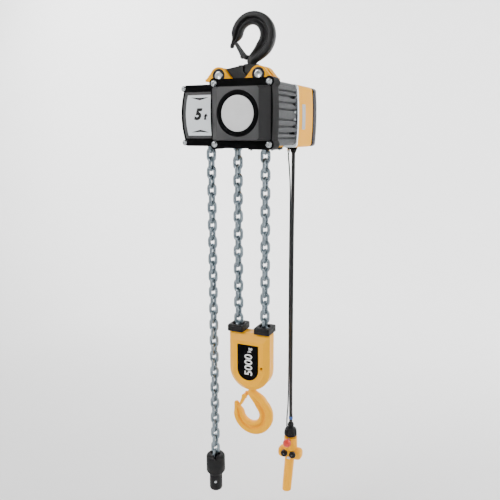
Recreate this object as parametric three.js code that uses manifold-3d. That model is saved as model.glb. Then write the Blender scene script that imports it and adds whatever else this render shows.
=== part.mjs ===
// A 5 tonne electric chain hoist on two falls of load chain, hung from its top hook.
// Millimetres. Origin: the seat of the top hook, on the load line. +Z up, +Y back along the motor.

import * as THREE from "three";
import { mergeVertices } from "three/addons/utils/BufferGeometryUtils.js";
import Module from "manifold-3d";

const wasm = await Module();
wasm.setup();

// Driving dimensions

const gap = 0.3; // between pieces that touch
const chain = { pitch: 31, wire: 11.3, width: 37 };
const wheel = { x: -102, z: -283, hubRadius: 31, flangeRadius: 58, halfWidth: 22.5 }; // load wheel
const fallX = { slack: -153, lifting: -51, standing: 51 };
const fallTop = { slack: -235, lifting: -322, standing: -300 };

const hook = { seatRadius: 32, outerRadius: 77, shank: 17, thread: 15, thickness: 17 };
const outerLift = { top: -4, load: 4 }; // centre of the outer circle above that of the seat circle
const shankEnd = { top: 150, load: 170 }; // below (or above) the seat; the thread is 20 or 22 longer
const latch = { x: -25.5, z: -98, length: 50, width: 24 };

const yoke = { halfLength: 88, front: -87.5, earBack: -73, neck: 22, bottom: -173.5 };
const yokeBlock = { front: -38, back: 44 }; // round the shank and its nut
const lug = { x: 68.5, z: -165, radius: 30, archZ: -168.5, foot: 45, plateTop: -174.2, pin: 14 };
const clevis = { front: -104, frontBack: -88.2, rearFront: -72.3, back: -40 }; // the two lugs on each pin

const housing = { left: -76, right: 119, front: -100, back: 95, top: -182, bottom: -384, wall: 6 };
const vent = { slots: [-228, -344.5], ports: [-250, -323], front: 34, back: 80, portY: 76 };
const wheelCase = { left: -180, front: -27, back: 84, top: -189, bottom: -381, wall: 5 };
const cover = { x: 31, z: -285, halfWidth: 106, halfHeight: 105.5, bulge: 6, front: -150, screw: 93 };
const panel = { width: 143, height: 160, front: -177 };
const sideBox = { left: -251, right: -78, front: -33, back: 92, top: -184, bottom: -387, bulge: 19 };
const sideScrew = { x: -239, offset: 90, lobe: 10 };
const motor = { x: 31, z: -283, top: -182, bottom: -392 };
const motorBack = { flange: 108, cover: 267, capRim: 302, cap: 336 };
const gears = { counterX: -29, plateFront: 26, second: 36, first: 58, face: 17 };

const block = { halfWidth: 78, depth: 35, top: -1039, bottom: -1257, axleZ: -1125, chamfer: 18 };
const label = { halfWidth: 40, top: -1081, arcZ: -1174, thick: 1.5 };
const lowerSeat = -1387; // seat of the load hook
const fallEnd = { slack: -1592, lifting: -1120, standing: -1110 };

const stop = { top: -1556, waist: -1640, bottom: -1712, radius: 36, neck: 24.5 };
const gland = { x: 86, y: 177, bottom: -412, reliefX: 67 };
const cable = { diameter: 13, bottom: -1458.3, reliefDiameter: 5, reliefBottom: -1483.3 };
const pendant = { x: 90, y: 177, capBottom: -1521, waist: -1567, crossBottom: -1612, bottom: -1757 };
const button = { x: 17, z: -1589, radius: 12, stopZ: -1546, stopRadius: 16 };

// Solids

function toSolid(geometry) {
  const bare = geometry.clone();
  bare.deleteAttribute("normal");
  bare.deleteAttribute("uv");
  const merged = mergeVertices(bare, 1e-4);
  const index = merged.index.array;
  const kept = [];
  for (let i = 0; i < index.length; i += 3) {
    const [a, b, c] = index.slice(i, i + 3);
    if (a !== b && b !== c && a !== c) kept.push(a, b, c);
  }
  const build = (triangles) =>
    new wasm.Manifold(
      new wasm.Mesh({
        numProp: 3,
        vertProperties: merged.attributes.position.array,
        triVerts: new Uint32Array(triangles),
      }),
    );
  const made = build(kept);
  return made.volume() < 0 ? build(kept.reverse()) : made;
}

function fromSolid(made) {
  const mesh = made.getMesh();
  const geometry = new THREE.BufferGeometry();
  geometry.setAttribute("position", new THREE.BufferAttribute(mesh.vertProperties, 3));
  geometry.setIndex(new THREE.BufferAttribute(mesh.triVerts, 1));
  geometry.computeVertexNormals();
  return geometry;
}

const join = (...solids) => solids.reduce((all, next) => all.add(next));
const cut = (body, ...tools) => tools.reduce((left, tool) => left.subtract(tool), body);

// A box between two corners.
function box(x0, x1, y0, y1, z0, z1) {
  const geometry = new THREE.BoxGeometry(x1 - x0, y1 - y0, z1 - z0);
  geometry.translate((x0 + x1) / 2, (y0 + y1) / 2, (z0 + z1) / 2);
  return toSolid(geometry);
}

// A cylinder along an axis, from one coordinate to another, through a point of the other two.
function rod(axis, radius, from, to, u, v, sides = 20, farRadius = radius) {
  const geometry = new THREE.CylinderGeometry(farRadius, radius, to - from, sides);
  geometry.translate(0, (from + to) / 2, 0);
  if (axis === "y") geometry.translate(u, 0, v);
  if (axis === "z") geometry.rotateX(Math.PI / 2).translate(u, v, 0);
  if (axis === "x") geometry.rotateZ(-Math.PI / 2).translate(0, u, v);
  return toSolid(geometry);
}

// An outline in the XZ plane, extruded from y0 back to y1.
function prism(outline, y0, y1) {
  const shape = new THREE.Shape(outline.map(([x, z]) => new THREE.Vector2(x, z)));
  const geometry = new THREE.ExtrudeGeometry(shape, { depth: y1 - y0, bevelEnabled: false });
  geometry.rotateX(Math.PI / 2).translate(0, y1, 0);
  return toSolid(geometry);
}

// A skin over rings of equal count, closed by a fan at each end.
function skin(rings) {
  const count = rings[0].length;
  const last = (rings.length - 1) * count;
  const faces = [];
  for (let i = 0; i + 1 < rings.length; i++) {
    for (let j = 0; j < count; j++) {
      const a = i * count + j;
      const b = i * count + ((j + 1) % count);
      faces.push(a, b, b + count, a, b + count, a + count);
    }
  }
  for (let j = 1; j + 1 < count; j++) {
    faces.push(0, j + 1, j, last, last + j, last + j + 1);
  }
  const geometry = new THREE.BufferGeometry().setFromPoints(rings.flat());
  geometry.setIndex(faces);
  return toSolid(geometry);
}

const ringAt = (outline, y) => outline.map(([x, z]) => new THREE.Vector3(x, y, z));

// A turned piece on a vertical axis: profile points are [radius, z].
function turned(profile, x, y, sides = 20) {
  const points = profile.map(([radius, z]) => new THREE.Vector2(radius, z));
  const geometry = new THREE.LatheGeometry(points, sides);
  geometry.rotateX(Math.PI / 2).translate(x, y, 0);
  return toSolid(geometry);
}

function arc(x, z, radius, from, to, steps) {
  return Array.from({ length: steps + 1 }, (_, i) => {
    const angle = THREE.MathUtils.degToRad(from + ((to - from) * i) / steps);
    return [x + radius * Math.cos(angle), z + radius * Math.sin(angle)];
  });
}

function roundedRect(x, z, width, height, radius, steps = 3) {
  const u = width / 2 - radius;
  const v = height / 2 - radius;
  return [
    ...arc(x + u, z + v, radius, 0, 90, steps),
    ...arc(x - u, z + v, radius, 90, 180, steps),
    ...arc(x - u, z - v, radius, 180, 270, steps),
    ...arc(x + u, z - v, radius, 270, 360, steps),
  ];
}

// An upright outline whose two sides swell outwards by "bulge" at mid height.
function barrel(x, z, halfWidth, halfHeight, bulgeLeft, bulgeRight = bulgeLeft, steps = 8) {
  const side = (sign, bulge) =>
    Array.from({ length: steps + 1 }, (_, i) => {
      const t = (2 * i) / steps - 1;
      return [x + sign * (halfWidth - bulge * t * t), z + sign * t * halfHeight];
    });
  return [...side(1, bulgeRight), ...side(-1, bulgeLeft)];
}

// Pieces

const hoist = new THREE.Group();

function add(name, made, color, roughness, metalness) {
  const material = new THREE.MeshStandardMaterial({ color, roughness, metalness });
  const mesh = new THREE.Mesh(fromSolid(made), material);
  mesh.name = name;
  hoist.add(mesh);
}

const blackPlastic = [0x1d1c1f, 0.5, 0];
const greyPlastic = [0x5e5e60, 0.5, 0];
const yellowPaint = [0xfbbf2b, 0.4, 0];
const forgedSteel = [0x4a4a4a, 0.6, 0.4];
const castAluminium = [0x8f9093, 0.55, 0.7];
const brightSteel = [0xc9d0d4, 0.3, 0.9];
const copper = [0xa8683c, 0.4, 0.8];
const rubber = [0x2c2c2e, 0.85, 0];
const cableSheath = [0x39393b, 0.6, 0];

// Hook forging: an oval section carried from the tip round the seat and down into the shank.
function hookForging(shankEnds, threadEnds, lift) {
  const sections = [
    { x: -68, z: -60, half: 3, deep: 4 },
    { x: -66.5, z: -57, half: 6.5, deep: 7.5 },
    { x: -62, z: -50, half: 7.5, deep: 9 },
    { x: -57, z: -41.5, half: 12, deep: 12 },
  ];
  for (let angle = 177; angle >= -45; angle -= 18.5) {
    const a = THREE.MathUtils.degToRad(angle);
    const out = 7 * Math.cos(a) + lift * Math.sin(a);
    const off = 7 * Math.sin(a) - lift * Math.cos(a);
    const outer = out + Math.sqrt(hook.outerRadius ** 2 - off ** 2);
    const middle = (hook.seatRadius + outer) / 2;
    sections.push({
      x: middle * Math.cos(a),
      z: middle * Math.sin(a) - hook.seatRadius,
      half: (outer - hook.seatRadius) / 2,
      deep: hook.thickness,
    });
  }
  sections.push({ x: 25, z: -90, half: 22, deep: hook.thickness });
  sections.push({ x: 8, z: -103, half: 18.5, deep: hook.shank });
  sections.push({ x: 1, z: -114, half: hook.shank, deep: hook.shank });
  sections.push({ x: 0, z: -121, half: hook.shank, deep: hook.shank });
  const sides = 12;
  const rings = sections.map((section, i) => {
    const before = sections[Math.max(i - 1, 0)];
    const after = sections[Math.min(i + 1, sections.length - 1)];
    const last = i === sections.length - 1;
    const along = new THREE.Vector2(last ? 0 : after.x - before.x, last ? -1 : after.z - before.z);
    along.normalize();
    return Array.from({ length: sides }, (_, k) => {
      const turn = (2 * Math.PI * k) / sides;
      const across = section.half * Math.cos(turn);
      return new THREE.Vector3(
        section.x + across * along.y,
        section.deep * Math.sin(turn),
        section.z - across * along.x,
      );
    });
  });
  const shank = rod("z", hook.shank, -shankEnds, -120.9, 0, 0, sides);
  const thread = rod("z", hook.thread, -threadEnds, 0.1 - shankEnds, 0, 0, sides);
  return join(skin(rings), shank, thread);
}

// Safety latch: a flat tongue on a pivot barrel, closing against the inside of the hook tip.
function latchTongue() {
  const half = latch.width / 2;
  const barrelPart = rod("y", 5, -half, half, 0, 0, 12);
  const tongue = cut(
    box(-3, 3, -half, half, 0, latch.length),
    box(-4, 4, -half + 5, half - 5, 12, latch.length - 8),
  );
  const geometry = fromSolid(join(barrelPart, tongue));
  geometry.rotateY(THREE.MathUtils.degToRad(-31)).translate(latch.x, 0, latch.z);
  return toSolid(geometry);
}

// Hexagon nut on the shank's thread, just past the end of the plain shank.
function hexNut(plainEnd) {
  const from = -plainEnd - 17.5;
  const to = -plainEnd - 1;
  return cut(rod("z", 24, from, to, 0, 0, 6), rod("z", hook.thread + gap, from - 1, to + 1, 0, 0, 12));
}

// The same forging points down: turned over about X, with its seat at the load hook's height.
const lowered = (made) => {
  const geometry = fromSolid(made);
  geometry.rotateX(Math.PI).translate(0, 0, lowerSeat);
  return toSolid(geometry);
};

function addHooks() {
  const tongue = latchTongue();
  const bearing = cut(
    rod("z", 29, -152, -149.2, 0, 0),
    rod("z", hook.shank + gap, -153, -148, 0, 0),
  );
  add("top_hook", hookForging(shankEnd.top, shankEnd.top + 22, outerLift.top), ...forgedSteel);
  add("top_hook_nut", hexNut(shankEnd.top + 1.5), ...brightSteel);
  add("thrust_bearing", bearing, ...brightSteel);
  add("top_latch", tongue, ...forgedSteel);
  const lowerForging = hookForging(shankEnd.load, shankEnd.load + 20, outerLift.load);
  add("load_hook", lowered(lowerForging), ...yellowPaint);
  add("load_hook_nut", lowered(hexNut(shankEnd.load)), ...brightSteel);
  add("load_hook_latch", lowered(tongue), ...yellowPaint);
}

// Suspension: forged yoke between the lugs of a cast frame, on two long pins.
function addSuspension() {
  const plate = [
    [-yoke.halfLength, yoke.bottom],
    [-yoke.halfLength, -158],
    [-74, -147],
    [-40, -142],
    [12, -133.5],
    [52, -134],
    [74, -143],
    [yoke.halfLength, -156],
    [yoke.halfLength, yoke.bottom],
  ];
  const middle = [
    [-46, yoke.bottom],
    [-46, -150],
    [-28, -128],
    [28, -128],
    [46, -150],
    [46, yoke.bottom],
  ];
  const pinFront = clevis.front - 1.5;
  const pinHoles = [-lug.x, lug.x].map((x) => rod("y", lug.pin + gap, pinFront - 5, 0, x, lug.z));
  const yokeBody = join(
    prism(plate, yoke.front, yoke.earBack),
    box(-yoke.neck, yoke.neck, yoke.earBack - 1, yokeBlock.front + 1, yoke.bottom, -140),
    prism(middle, yokeBlock.front, yokeBlock.back),
  );
  add(
    "suspension_yoke",
    cut(
      yokeBody,
      ...pinHoles,
      rod("z", hook.shank + 0.6, -160, -110, 0, 0),
      rod("z", 33, -174, -149, 0, 0),
    ),
    ...forgedSteel,
  );
  const frame = [
    box(-116, 116, clevis.front, clevis.back, housing.top + gap, lug.plateTop),
    box(-66, 66, clevis.back - 1, 72, housing.top + gap, lug.plateTop),
  ];
  for (const x of [-lug.x, lug.x]) {
    const profile = [
      ...arc(x, lug.archZ, lug.radius, 27, 153, 10),
      [x - lug.foot, lug.plateTop - 1],
      [x + lug.foot, lug.plateTop - 1],
    ];
    frame.push(prism(profile, clevis.front, clevis.frontBack));
    frame.push(prism(profile, clevis.rearFront, clevis.back));
  }
  add("load_frame", cut(join(...frame), ...pinHoles), ...yellowPaint);
  for (const [side, x] of [["left", -lug.x], ["right", lug.x]]) {
    const pin = rod("y", lug.pin, pinFront, clevis.back + 1.5, x, lug.z);
    add("suspension_pin_" + side, pin, ...brightSteel);
  }
}

// Gear housing: ribbed casting, open front and back, with a side bay for the load wheel.
function addHousing() {
  const { wall } = housing;
  const shell = cut(
    box(housing.left, housing.right, housing.front, housing.back, housing.bottom, housing.top),
    box(
      housing.left + wall,
      housing.right - wall,
      housing.front - 1,
      housing.back + 1,
      housing.bottom + 8,
      housing.top - 8,
    ),
  );
  const bay = box(
    wheelCase.left,
    housing.left + 1,
    wheelCase.front,
    wheelCase.back,
    wheelCase.bottom,
    wheelCase.top,
  );
  const bayRoom = box(
    wheelCase.left + wall,
    housing.left + wall + 1,
    wheelCase.front + 4,
    wheelCase.back + 1,
    wheelCase.bottom + wheelCase.wall,
    wheelCase.top - wheelCase.wall,
  );
  const ribs = Array.from({ length: 9 }, (_, i) => {
    const z = housing.bottom + 14 + i * 21.5;
    return box(housing.right - 1, housing.right + 6, housing.front, housing.back, z - 4, z + 4);
  });
  const flank = [housing.right - 8, housing.right + 8];
  const slots = vent.slots.map((z) => box(...flank, vent.front, vent.back, z - 4.5, z + 4.5));
  const ports = vent.ports.map((z) => rod("x", 4.5, ...flank, vent.portY, z, 12));
  const chainHoles = Object.values(fallX).map((x) => box(x - 21, x + 21, -21, 21, -400, -370));
  const bearingBore = rod("y", 12.5, -40, -20, wheel.x, wheel.z);
  add(
    "gear_housing",
    cut(join(shell, bay, ...ribs), bayRoom, ...slots, ...ports, ...chainHoles, bearingBore),
    ...castAluminium,
  );
}

// Front cover: barrel-sided moulding with four screw lobes and a raised middle.
function addFrontCover() {
  const { x, z } = cover;
  const screws = [-1, 1].flatMap((u) => [-1, 1].map((v) => [x + u * cover.screw, z + v * cover.screw]));
  const outline = barrel(x, z, cover.halfWidth, cover.halfHeight, cover.bulge);
  const inner = barrel(x, z, cover.halfWidth - 6, cover.halfHeight - 6, cover.bulge);
  const rimBack = housing.front - gap;
  const lobes = screws.map(([u, v]) => rod("y", 16, cover.front, rimBack, u, v, 16));
  const raised = skin([
    ringAt(roundedRect(x, z, 196, 164, 14), cover.front + 1),
    ringAt(roundedRect(x, z, panel.width, panel.height, 14), panel.front),
  ]);
  const frameNotch = box(-119, 119, clevis.front - 3, rimBack + 1, housing.top - 0.3, -170);
  const seat = rod("y", 54.6, panel.front - 1, panel.front + 4, x, z, 32);
  const body = cut(
    join(prism(outline, cover.front, rimBack), ...lobes, raised),
    prism(inner, cover.front + 6, rimBack + 1),
    frameNotch,
    seat,
    ...screws.map(([u, v]) => rod("y", 5.3, cover.front - 1, cover.front + 18.3, u, v, 12)),
  );
  add("front_cover", body, ...greyPlastic);
  const ring = cut(
    rod("y", 70, panel.front - 3, panel.front - gap, x, z, 32),
    rod("y", 54.6, panel.front - 4, panel.front, x, z, 32),
  );
  add("cover_ring", ring, ...blackPlastic);
  add("cover_disc", rod("y", 54, panel.front - 1.5, panel.front + 3.7, x, z, 32), 0xd8d8d8, 0.4, 0);
  screws.forEach(([u, v], i) => {
    const head = rod("y", 10, cover.front - 5.3, cover.front - gap, u, v, 16);
    const shaft = rod("y", 5, cover.front - 1, cover.front + 18, u, v, 12);
    add("cover_screw_" + (i + 1), join(head, shaft), ...brightSteel);
  });
}

// Side box over the load wheel and the electrics, with the capacity plate on its front.
function addSideBox() {
  const halfHeight = (sideBox.top - sideBox.bottom) / 2;
  const z = (sideBox.top + sideBox.bottom) / 2;
  const halfWidth = (sideBox.right - sideBox.left) / 2;
  const x = (sideBox.right + sideBox.left) / 2;
  const outline = barrel(x, z, halfWidth, halfHeight, sideBox.bulge, 0);
  const inner = barrel(x + 4, z, halfWidth + 1, halfHeight - 4.6, sideBox.bulge, 0);
  const screws = [-1, 1].map((v) => [sideScrew.x, z + v * sideScrew.offset]);
  const lobes = screws.map(([u, v]) => rod("y", sideScrew.lobe, sideBox.front, sideBox.front + 20, u, v));
  const body = cut(
    join(prism(outline, sideBox.front, sideBox.back), ...lobes),
    prism(inner, sideBox.front + 5, sideBox.back - 4),
    box(fallX.slack - 21, fallX.slack + 21, -21, 21, -400, -375),
    ...screws.map(([u, v]) => rod("y", 4.3, sideBox.front - 1, sideBox.front + 16.3, u, v, 12)),
  );
  add("side_cover", body, ...blackPlastic);
  const plate = barrel(x + 5.5, z, halfWidth - 6, 70, 9, 0);
  add("capacity_plate", prism(plate, sideBox.front - 2, sideBox.front - gap), 0xe3e8ec, 0.4, 0);
  screws.forEach(([u, v], i) => {
    const head = rod("y", 7.5, sideBox.front - 4.3, sideBox.front - gap, u, v, 16);
    const shaft = rod("y", 4, sideBox.front - 1, sideBox.front + 16, u, v, 12);
    add("side_screw_" + (i + 1), join(head, shaft), ...brightSteel);
  });
  add("contactor", box(-228, -186, 5, 60, -330, -240), ...greyPlastic);
}

// Motor end: flange, stator, rotor, brake, painted cover and end cap.
function addMotor() {
  const { x, z } = motor;
  const middle = (motor.top + motor.bottom) / 2;
  const halfHeight = (motor.top - motor.bottom) / 2;
  const outline = barrel(x, middle, 99, halfHeight, 5);
  const inner = barrel(x, middle, 95, halfHeight - 4, 5);
  const flangeBack = motorBack.flange;
  add(
    "motor_flange",
    cut(prism(outline, housing.back + gap, flangeBack), rod("y", 10.6, 90, 110, x, z)),
    ...castAluminium,
  );
  add(
    "motor_cover",
    cut(
      prism(outline, flangeBack + gap, motorBack.cover),
      prism(inner, flangeBack - 1, motorBack.cover + 1),
      rod("z", 8, motor.bottom - 1, motor.bottom + 6, gland.x, gland.y, 16),
    ),
    ...yellowPaint,
  );
  const capRim = barrel(x, middle, 97, halfHeight - 3, 5);
  const capFace = barrel(x, middle, 86, halfHeight - 14, 5);
  const capFront = motorBack.cover + gap;
  const bosses = [-1, 1].flatMap((u) =>
    [-1, 1].map((v) => rod("y", 13, capFront, motorBack.capRim + 2, x + u * 84, middle + v * 90, 12)),
  );
  const cap = join(
    prism(capRim, capFront, motorBack.capRim),
    skin([ringAt(capRim, motorBack.capRim - 0.1), ringAt(capFace, motorBack.cap)]),
    ...bosses,
  );
  const capRoom = prism(barrel(x, middle, 78, halfHeight - 22, 4), 260, motorBack.cap - 6);
  add("end_cap", cut(cap, capRoom), 0x3f3c45, 0.5, 0);
  add("stator", cut(rod("y", 75, 125, 215, x, z, 24), rod("y", 43, 120, 220, x, z, 24)), ...copper);
  const shaftHole = rod("y", 10.3, 120, 220, x, z, 16);
  const magnet = cut(rod("y", 55, 236, 262, x, z, 24), rod("y", 11, 230, 270, x, z, 16));
  add("brake_magnet", magnet, ...forgedSteel);
  add("rotor_core", cut(rod("y", 42, 125, 215, x, z, 24), shaftHole), ...brightSteel);
  const shaft = join(
    rod("y", 10, gears.plateFront + 1, 262, x, z, 16),
    gearWheel(19.7, 12, gears.first, x, z),
    rod("y", 50, 225, 231, x, z, 24),
  );
  add("motor_shaft", shaft, ...brightSteel);
}

// A spur gear of one face width whose teeth are simple trapezoids inside the outer radius.
function gearWheel(outer, teeth, front, x, z) {
  const depth = 3;
  const outline = Array.from({ length: teeth }, (_, i) =>
    [0.06, 0.3, 0.56, 0.8].map((share, k) => {
      const radius = k === 1 || k === 2 ? outer : outer - depth;
      const angle = (2 * Math.PI * (i + share)) / teeth;
      return [x + radius * Math.cos(angle), z + radius * Math.sin(angle)];
    }),
  ).flat();
  return prism(outline, front, front + gears.face);
}

function addGears() {
  const { counterX: x, second, first, plateFront } = gears;
  add(
    "bearing_plate",
    cut(
      box(-173, 112, plateFront, plateFront + 6, -375, -195),
      rod("y", 12.5, 20, 40, wheel.x, wheel.z),
      rod("y", 8.5, 20, 40, x, wheel.z),
      rod("y", 10.5, 20, 40, motor.x, motor.z),
    ),
    ...castAluminium,
  );
  add(
    "intermediate_gear",
    join(
      rod("y", 8, plateFront, housing.back - 2, x, wheel.z, 16),
      gearWheel(20.7, 12, second, x, wheel.z),
      gearWheel(39.7, 24, first, x, wheel.z),
    ),
    ...brightSteel,
  );
  const bore = rod("y", 12.3, second - 1, second + 30, wheel.x, wheel.z, 16);
  add("output_gear", cut(gearWheel(51.7, 30, second, wheel.x, wheel.z), bore), ...brightSteel);
}

// Chain wheel: a waisted hub between two flanges, on its shaft.
function chainWheel(x, z, shaftRadius, from, to) {
  const { hubRadius, flangeRadius, halfWidth } = wheel;
  return join(
    rod("y", hubRadius, 1 - halfWidth, halfWidth - 1, x, z, 24),
    rod("y", flangeRadius, -halfWidth, 3 - halfWidth, x, z, 24),
    rod("y", flangeRadius, halfWidth - 3, halfWidth, x, z, 24),
    rod("y", shaftRadius, from, to, x, z, 16),
  );
}

// A fall of load chain: each link a flat oval, every other one turned a quarter.
function fall(x, top, bottom) {
  const { pitch, wire, width } = chain;
  const length = pitch + 2 * wire;
  const links = [];
  for (let z = top - length / 2, i = 0; z - length / 2 > bottom - 1; z -= pitch, i++) {
    const r = width / 2;
    const v = length / 2 - r;
    const outline = [...arc(0, v, r, 0, 180, 3), ...arc(0, -v, r, 180, 360, 3)];
    const geometry = fromSolid(prism(outline, -wire / 2, wire / 2));
    if (i % 2) geometry.rotateZ(Math.PI / 2);
    links.push(toSolid(geometry.translate(x, 0, z)));
  }
  return join(...links);
}

function addChain() {
  add("load_wheel", chainWheel(wheel.x, wheel.z, 12, -26.5, 60), ...brightSteel);
  add("slack_fall", fall(fallX.slack, fallTop.slack, fallEnd.slack), ...brightSteel);
  add("lifting_fall", fall(fallX.lifting, fallTop.lifting, fallEnd.lifting), ...brightSteel);
  add("standing_fall", fall(fallX.standing, fallTop.standing, fallEnd.standing), ...brightSteel);
  const bracketTop = housing.bottom - gap;
  const guideTop = bracketTop - 5 - gap;
  const hole = box(fallX.standing - 22, fallX.standing + 22, -22, 22, -420, -380);
  add("anchor_bracket", cut(box(-24, 100, -38, 38, bracketTop - 5, bracketTop), hole), ...yellowPaint);
  add("chain_guide", cut(box(6, 96, -44, 44, guideTop - 7.7, guideTop), hole), ...blackPlastic);
}

// End stop on the slack fall: a rubber buffer with a slot for the last links.
function addEndStop() {
  const profile = [
    [0, stop.bottom],
    [18, stop.bottom],
    [stop.neck, stop.bottom + 8],
    [stop.neck, stop.waist - 6],
    [stop.radius, stop.waist + 8],
    [stop.radius, stop.top - 10],
    [26, stop.top],
    [0, stop.top],
  ];
  const body = turned(profile, fallX.slack, 0, 24);
  const wide = chain.width / 2 + 0.4;
  const narrow = chain.wire / 2 + 0.55;
  const pocket = (u, v) => box(fallX.slack - u, fallX.slack + u, -v, v, stop.top - 60, stop.top + 5);
  add("end_stop", cut(body, pocket(wide, narrow), pocket(narrow, wide)), ...rubber);
}

// Load block: two chamfered shells over the idler wheel and the crosshead of the hook.
function addBlock() {
  const { halfWidth: w, depth, top, bottom, axleZ, chamfer } = block;
  const uShape = (inset) => [
    ...arc(0, bottom + w, w - inset, 180, 360, 12),
    [w - inset, top - inset],
    [-w + inset, top - inset],
  ];
  const inside = w - 2.2;
  const roomArc = arc(0, bottom + w, inside, 180, 360, 12);
  const roomOutline = [...roomArc, [inside, top - 10], [-inside, top - 10]];
  const room = prism(roomOutline, -depth + 10, depth - 10);
  const clearance = [
    cut(room, box(-80, 80, -60, 60, bottom - 10, -1186)),
    box(-30.3, 30.3, -25, 25, -1236.3, -1180),
    box(fallX.lifting - 20, fallX.lifting + 20, -20, 20, top - 20, top + 5),
    box(fallX.standing - 20, fallX.standing + 20, -20, 20, top - 20, top + 5),
    rod("z", hook.shank + 0.6, bottom - 5, -1230, 0, 0, 20),
    rod("y", 10.3, -depth + 4, depth - 4, 0, axleZ, 16),
  ];
  const half = (sign) => {
    const slab = [
      ringAt(uShape(0), sign * gap / 2),
      ringAt(uShape(0), sign * (depth - 16)),
      ringAt(uShape(chamfer), sign * depth),
    ];
    return cut(skin(slab), ...clearance);
  };
  add("block_front", half(-1), ...yellowPaint);
  add("block_back", half(1), ...yellowPaint);
  const labelOutline = [
    ...arc(0, label.arcZ, label.halfWidth, 180, 360, 10),
    [label.halfWidth, label.top],
    [-label.halfWidth, label.top],
  ];
  const labelBack = -depth - gap;
  add("block_label", prism(labelOutline, labelBack - label.thick, labelBack), 0x1f1e20, 0.4, 0);
  for (const [side, x] of [["left", fallX.lifting], ["right", fallX.standing]]) {
    const pad = prism(roundedRect(x, top + 13, 58, 24, 3, 1), -34, 34);
    const passage = box(x - 19.5, x + 19.5, -19.5, 19.5, top - 5, top + 40);
    add("guide_cap_" + side, cut(pad, passage), ...rubber);
  }
  const idler = cut(chainWheel(0, axleZ, 14, -23, 23), rod("y", 10.3, -30, 30, 0, axleZ, 16));
  add("idler_wheel", idler, ...brightSteel);
  add("idler_axle", rod("y", 10, -depth + 5, depth - 5, 0, axleZ, 16), ...brightSteel);
  add(
    "hook_crosshead",
    cut(box(-30, 30, -24.6, 24.6, -1236, -1217.5), rod("z", hook.shank + 0.6, -1240, -1200, 0, 0)),
    ...forgedSteel,
  );
}

// Pendant control: gland, cable with its relief cord, rubber boot and two-button handset.
function addPendant() {
  const { x, y } = pendant;
  const nutTop = motor.bottom - gap;
  const sleeve = [
    [0, gland.bottom],
    [8.5, gland.bottom + 1.4],
    [11, nutTop - 8.9],
    [0, nutTop - 8.9],
  ];
  const reliefBoss = [
    [0, gland.bottom],
    [4.5, gland.bottom + 0.8],
    [5, nutTop - 1],
    [0, nutTop - 1],
  ];
  const glandBody = join(
    box(gland.reliefX - 8, gland.x + 12, y - 10, y + 10, nutTop - 3, nutTop),
    rod("z", 14, nutTop - 9, nutTop, gland.x, y, 6),
    rod("z", 7.7, nutTop - 1, nutTop + 10, gland.x, y, 16),
    turned(sleeve, gland.x, y, 16),
    turned(reliefBoss, gland.reliefX, y, 12),
  );
  add("cable_gland", glandBody, ...blackPlastic);
  const tube = (diameter, sides, points) => {
    const section = new THREE.Shape();
    section.absarc(0, 0, diameter / 2, 0, 2 * Math.PI, false);
    const line = new THREE.CatmullRomCurve3(points.map(([u, v, w]) => new THREE.Vector3(u, v, w)));
    const settings = { steps: 30, extrudePath: line, curveSegments: sides / 2, bevelEnabled: false };
    return toSolid(new THREE.ExtrudeGeometry(section, settings));
  };
  const cableRoute = [
    [gland.x, y, gland.bottom - gap],
    [86, y, -450],
    [85.5, y, -600],
    [85.5, y, -760],
    [86, y, -920],
    [87, y, -1080],
    [88, y, -1240],
    [89, y, -1400],
    [90, y, -1435],
    [90, y, cable.bottom],
  ];
  const reliefRoute = [
    [gland.reliefX, y, gland.bottom - gap],
    [gland.reliefX, y, -426],
    [70.5, y, -460],
    [75, y, -530],
    [76, y, -600],
    [76, y, -760],
    [76.5, y, -920],
    [77.5, y, -1080],
    [78.5, y, -1240],
    [77.5, y, -1380],
    [73.5, y, -1450],
    [73.5, y, -1470],
    [73.5, y, cable.reliefBottom],
  ];
  add("pendant_cable", tube(cable.diameter, 8, cableRoute), ...cableSheath);
  add("relief_cord", tube(cable.reliefDiameter, 8, reliefRoute), ...cableSheath);
  const capTop = cable.reliefBottom - gap;
  const bootProfile = [
    [0, pendant.capBottom + gap],
    [25, pendant.capBottom + gap],
    [21.5, capTop],
    [10, capTop],
    [12.5, capTop + 12],
    [8, cable.bottom - gap],
    [0, cable.bottom - gap],
  ];
  add("pendant_boot", turned(bootProfile, x, y, 20), ...rubber);
  const capProfile = [
    [0, pendant.waist - 1],
    [27, pendant.waist - 1],
    [26, pendant.capBottom],
    [0, pendant.capBottom],
  ];
  const crossPiece = roundedRect(x, (pendant.waist + pendant.crossBottom) / 2, 98, 45, 21, 4);
  const gripTop = -1590;
  const grip = fromSolid(rod("z", 18, pendant.bottom - gripTop, 0, 0, 0, 20, 19));
  grip.rotateY(THREE.MathUtils.degToRad(3)).translate(x - 1, y, gripTop);
  const { radius, stopRadius } = button;
  const holeX = [x - button.x, x + button.x];
  const holes = holeX.map((u) => rod("y", radius + 0.5, y - 40, y - 14, u, button.z, 16));
  const stopHole = rod("y", 9.5, y - 40, y - 12, x, button.stopZ, 16);
  const shell = join(turned(capProfile, x, y, 20), prism(crossPiece, y - 26, y + 26), toSolid(grip));
  add("pendant_body", cut(shell, ...holes, stopHole), ...yellowPaint);
  for (const [name, u] of [["up", -button.x], ["down", button.x]]) {
    add(name + "_button", rod("y", radius, y - 34, y - 18, x + u, button.z, 16), ...rubber);
  }
  const stem = rod("y", 9, y - 38, y - 16, x, button.stopZ, 16);
  const head = rod("y", stopRadius, y - 54, y - 37, x, button.stopZ, 20);
  add("stop_button", join(stem, head), 0xd9423c, 0.4, 0);
}

addHooks();
addSuspension();
addHousing();
addFrontCover();
addSideBox();
addMotor();
addGears();
addChain();
addEndStop();
addBlock();
addPendant();

export default hoist;
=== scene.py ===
import math

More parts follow.
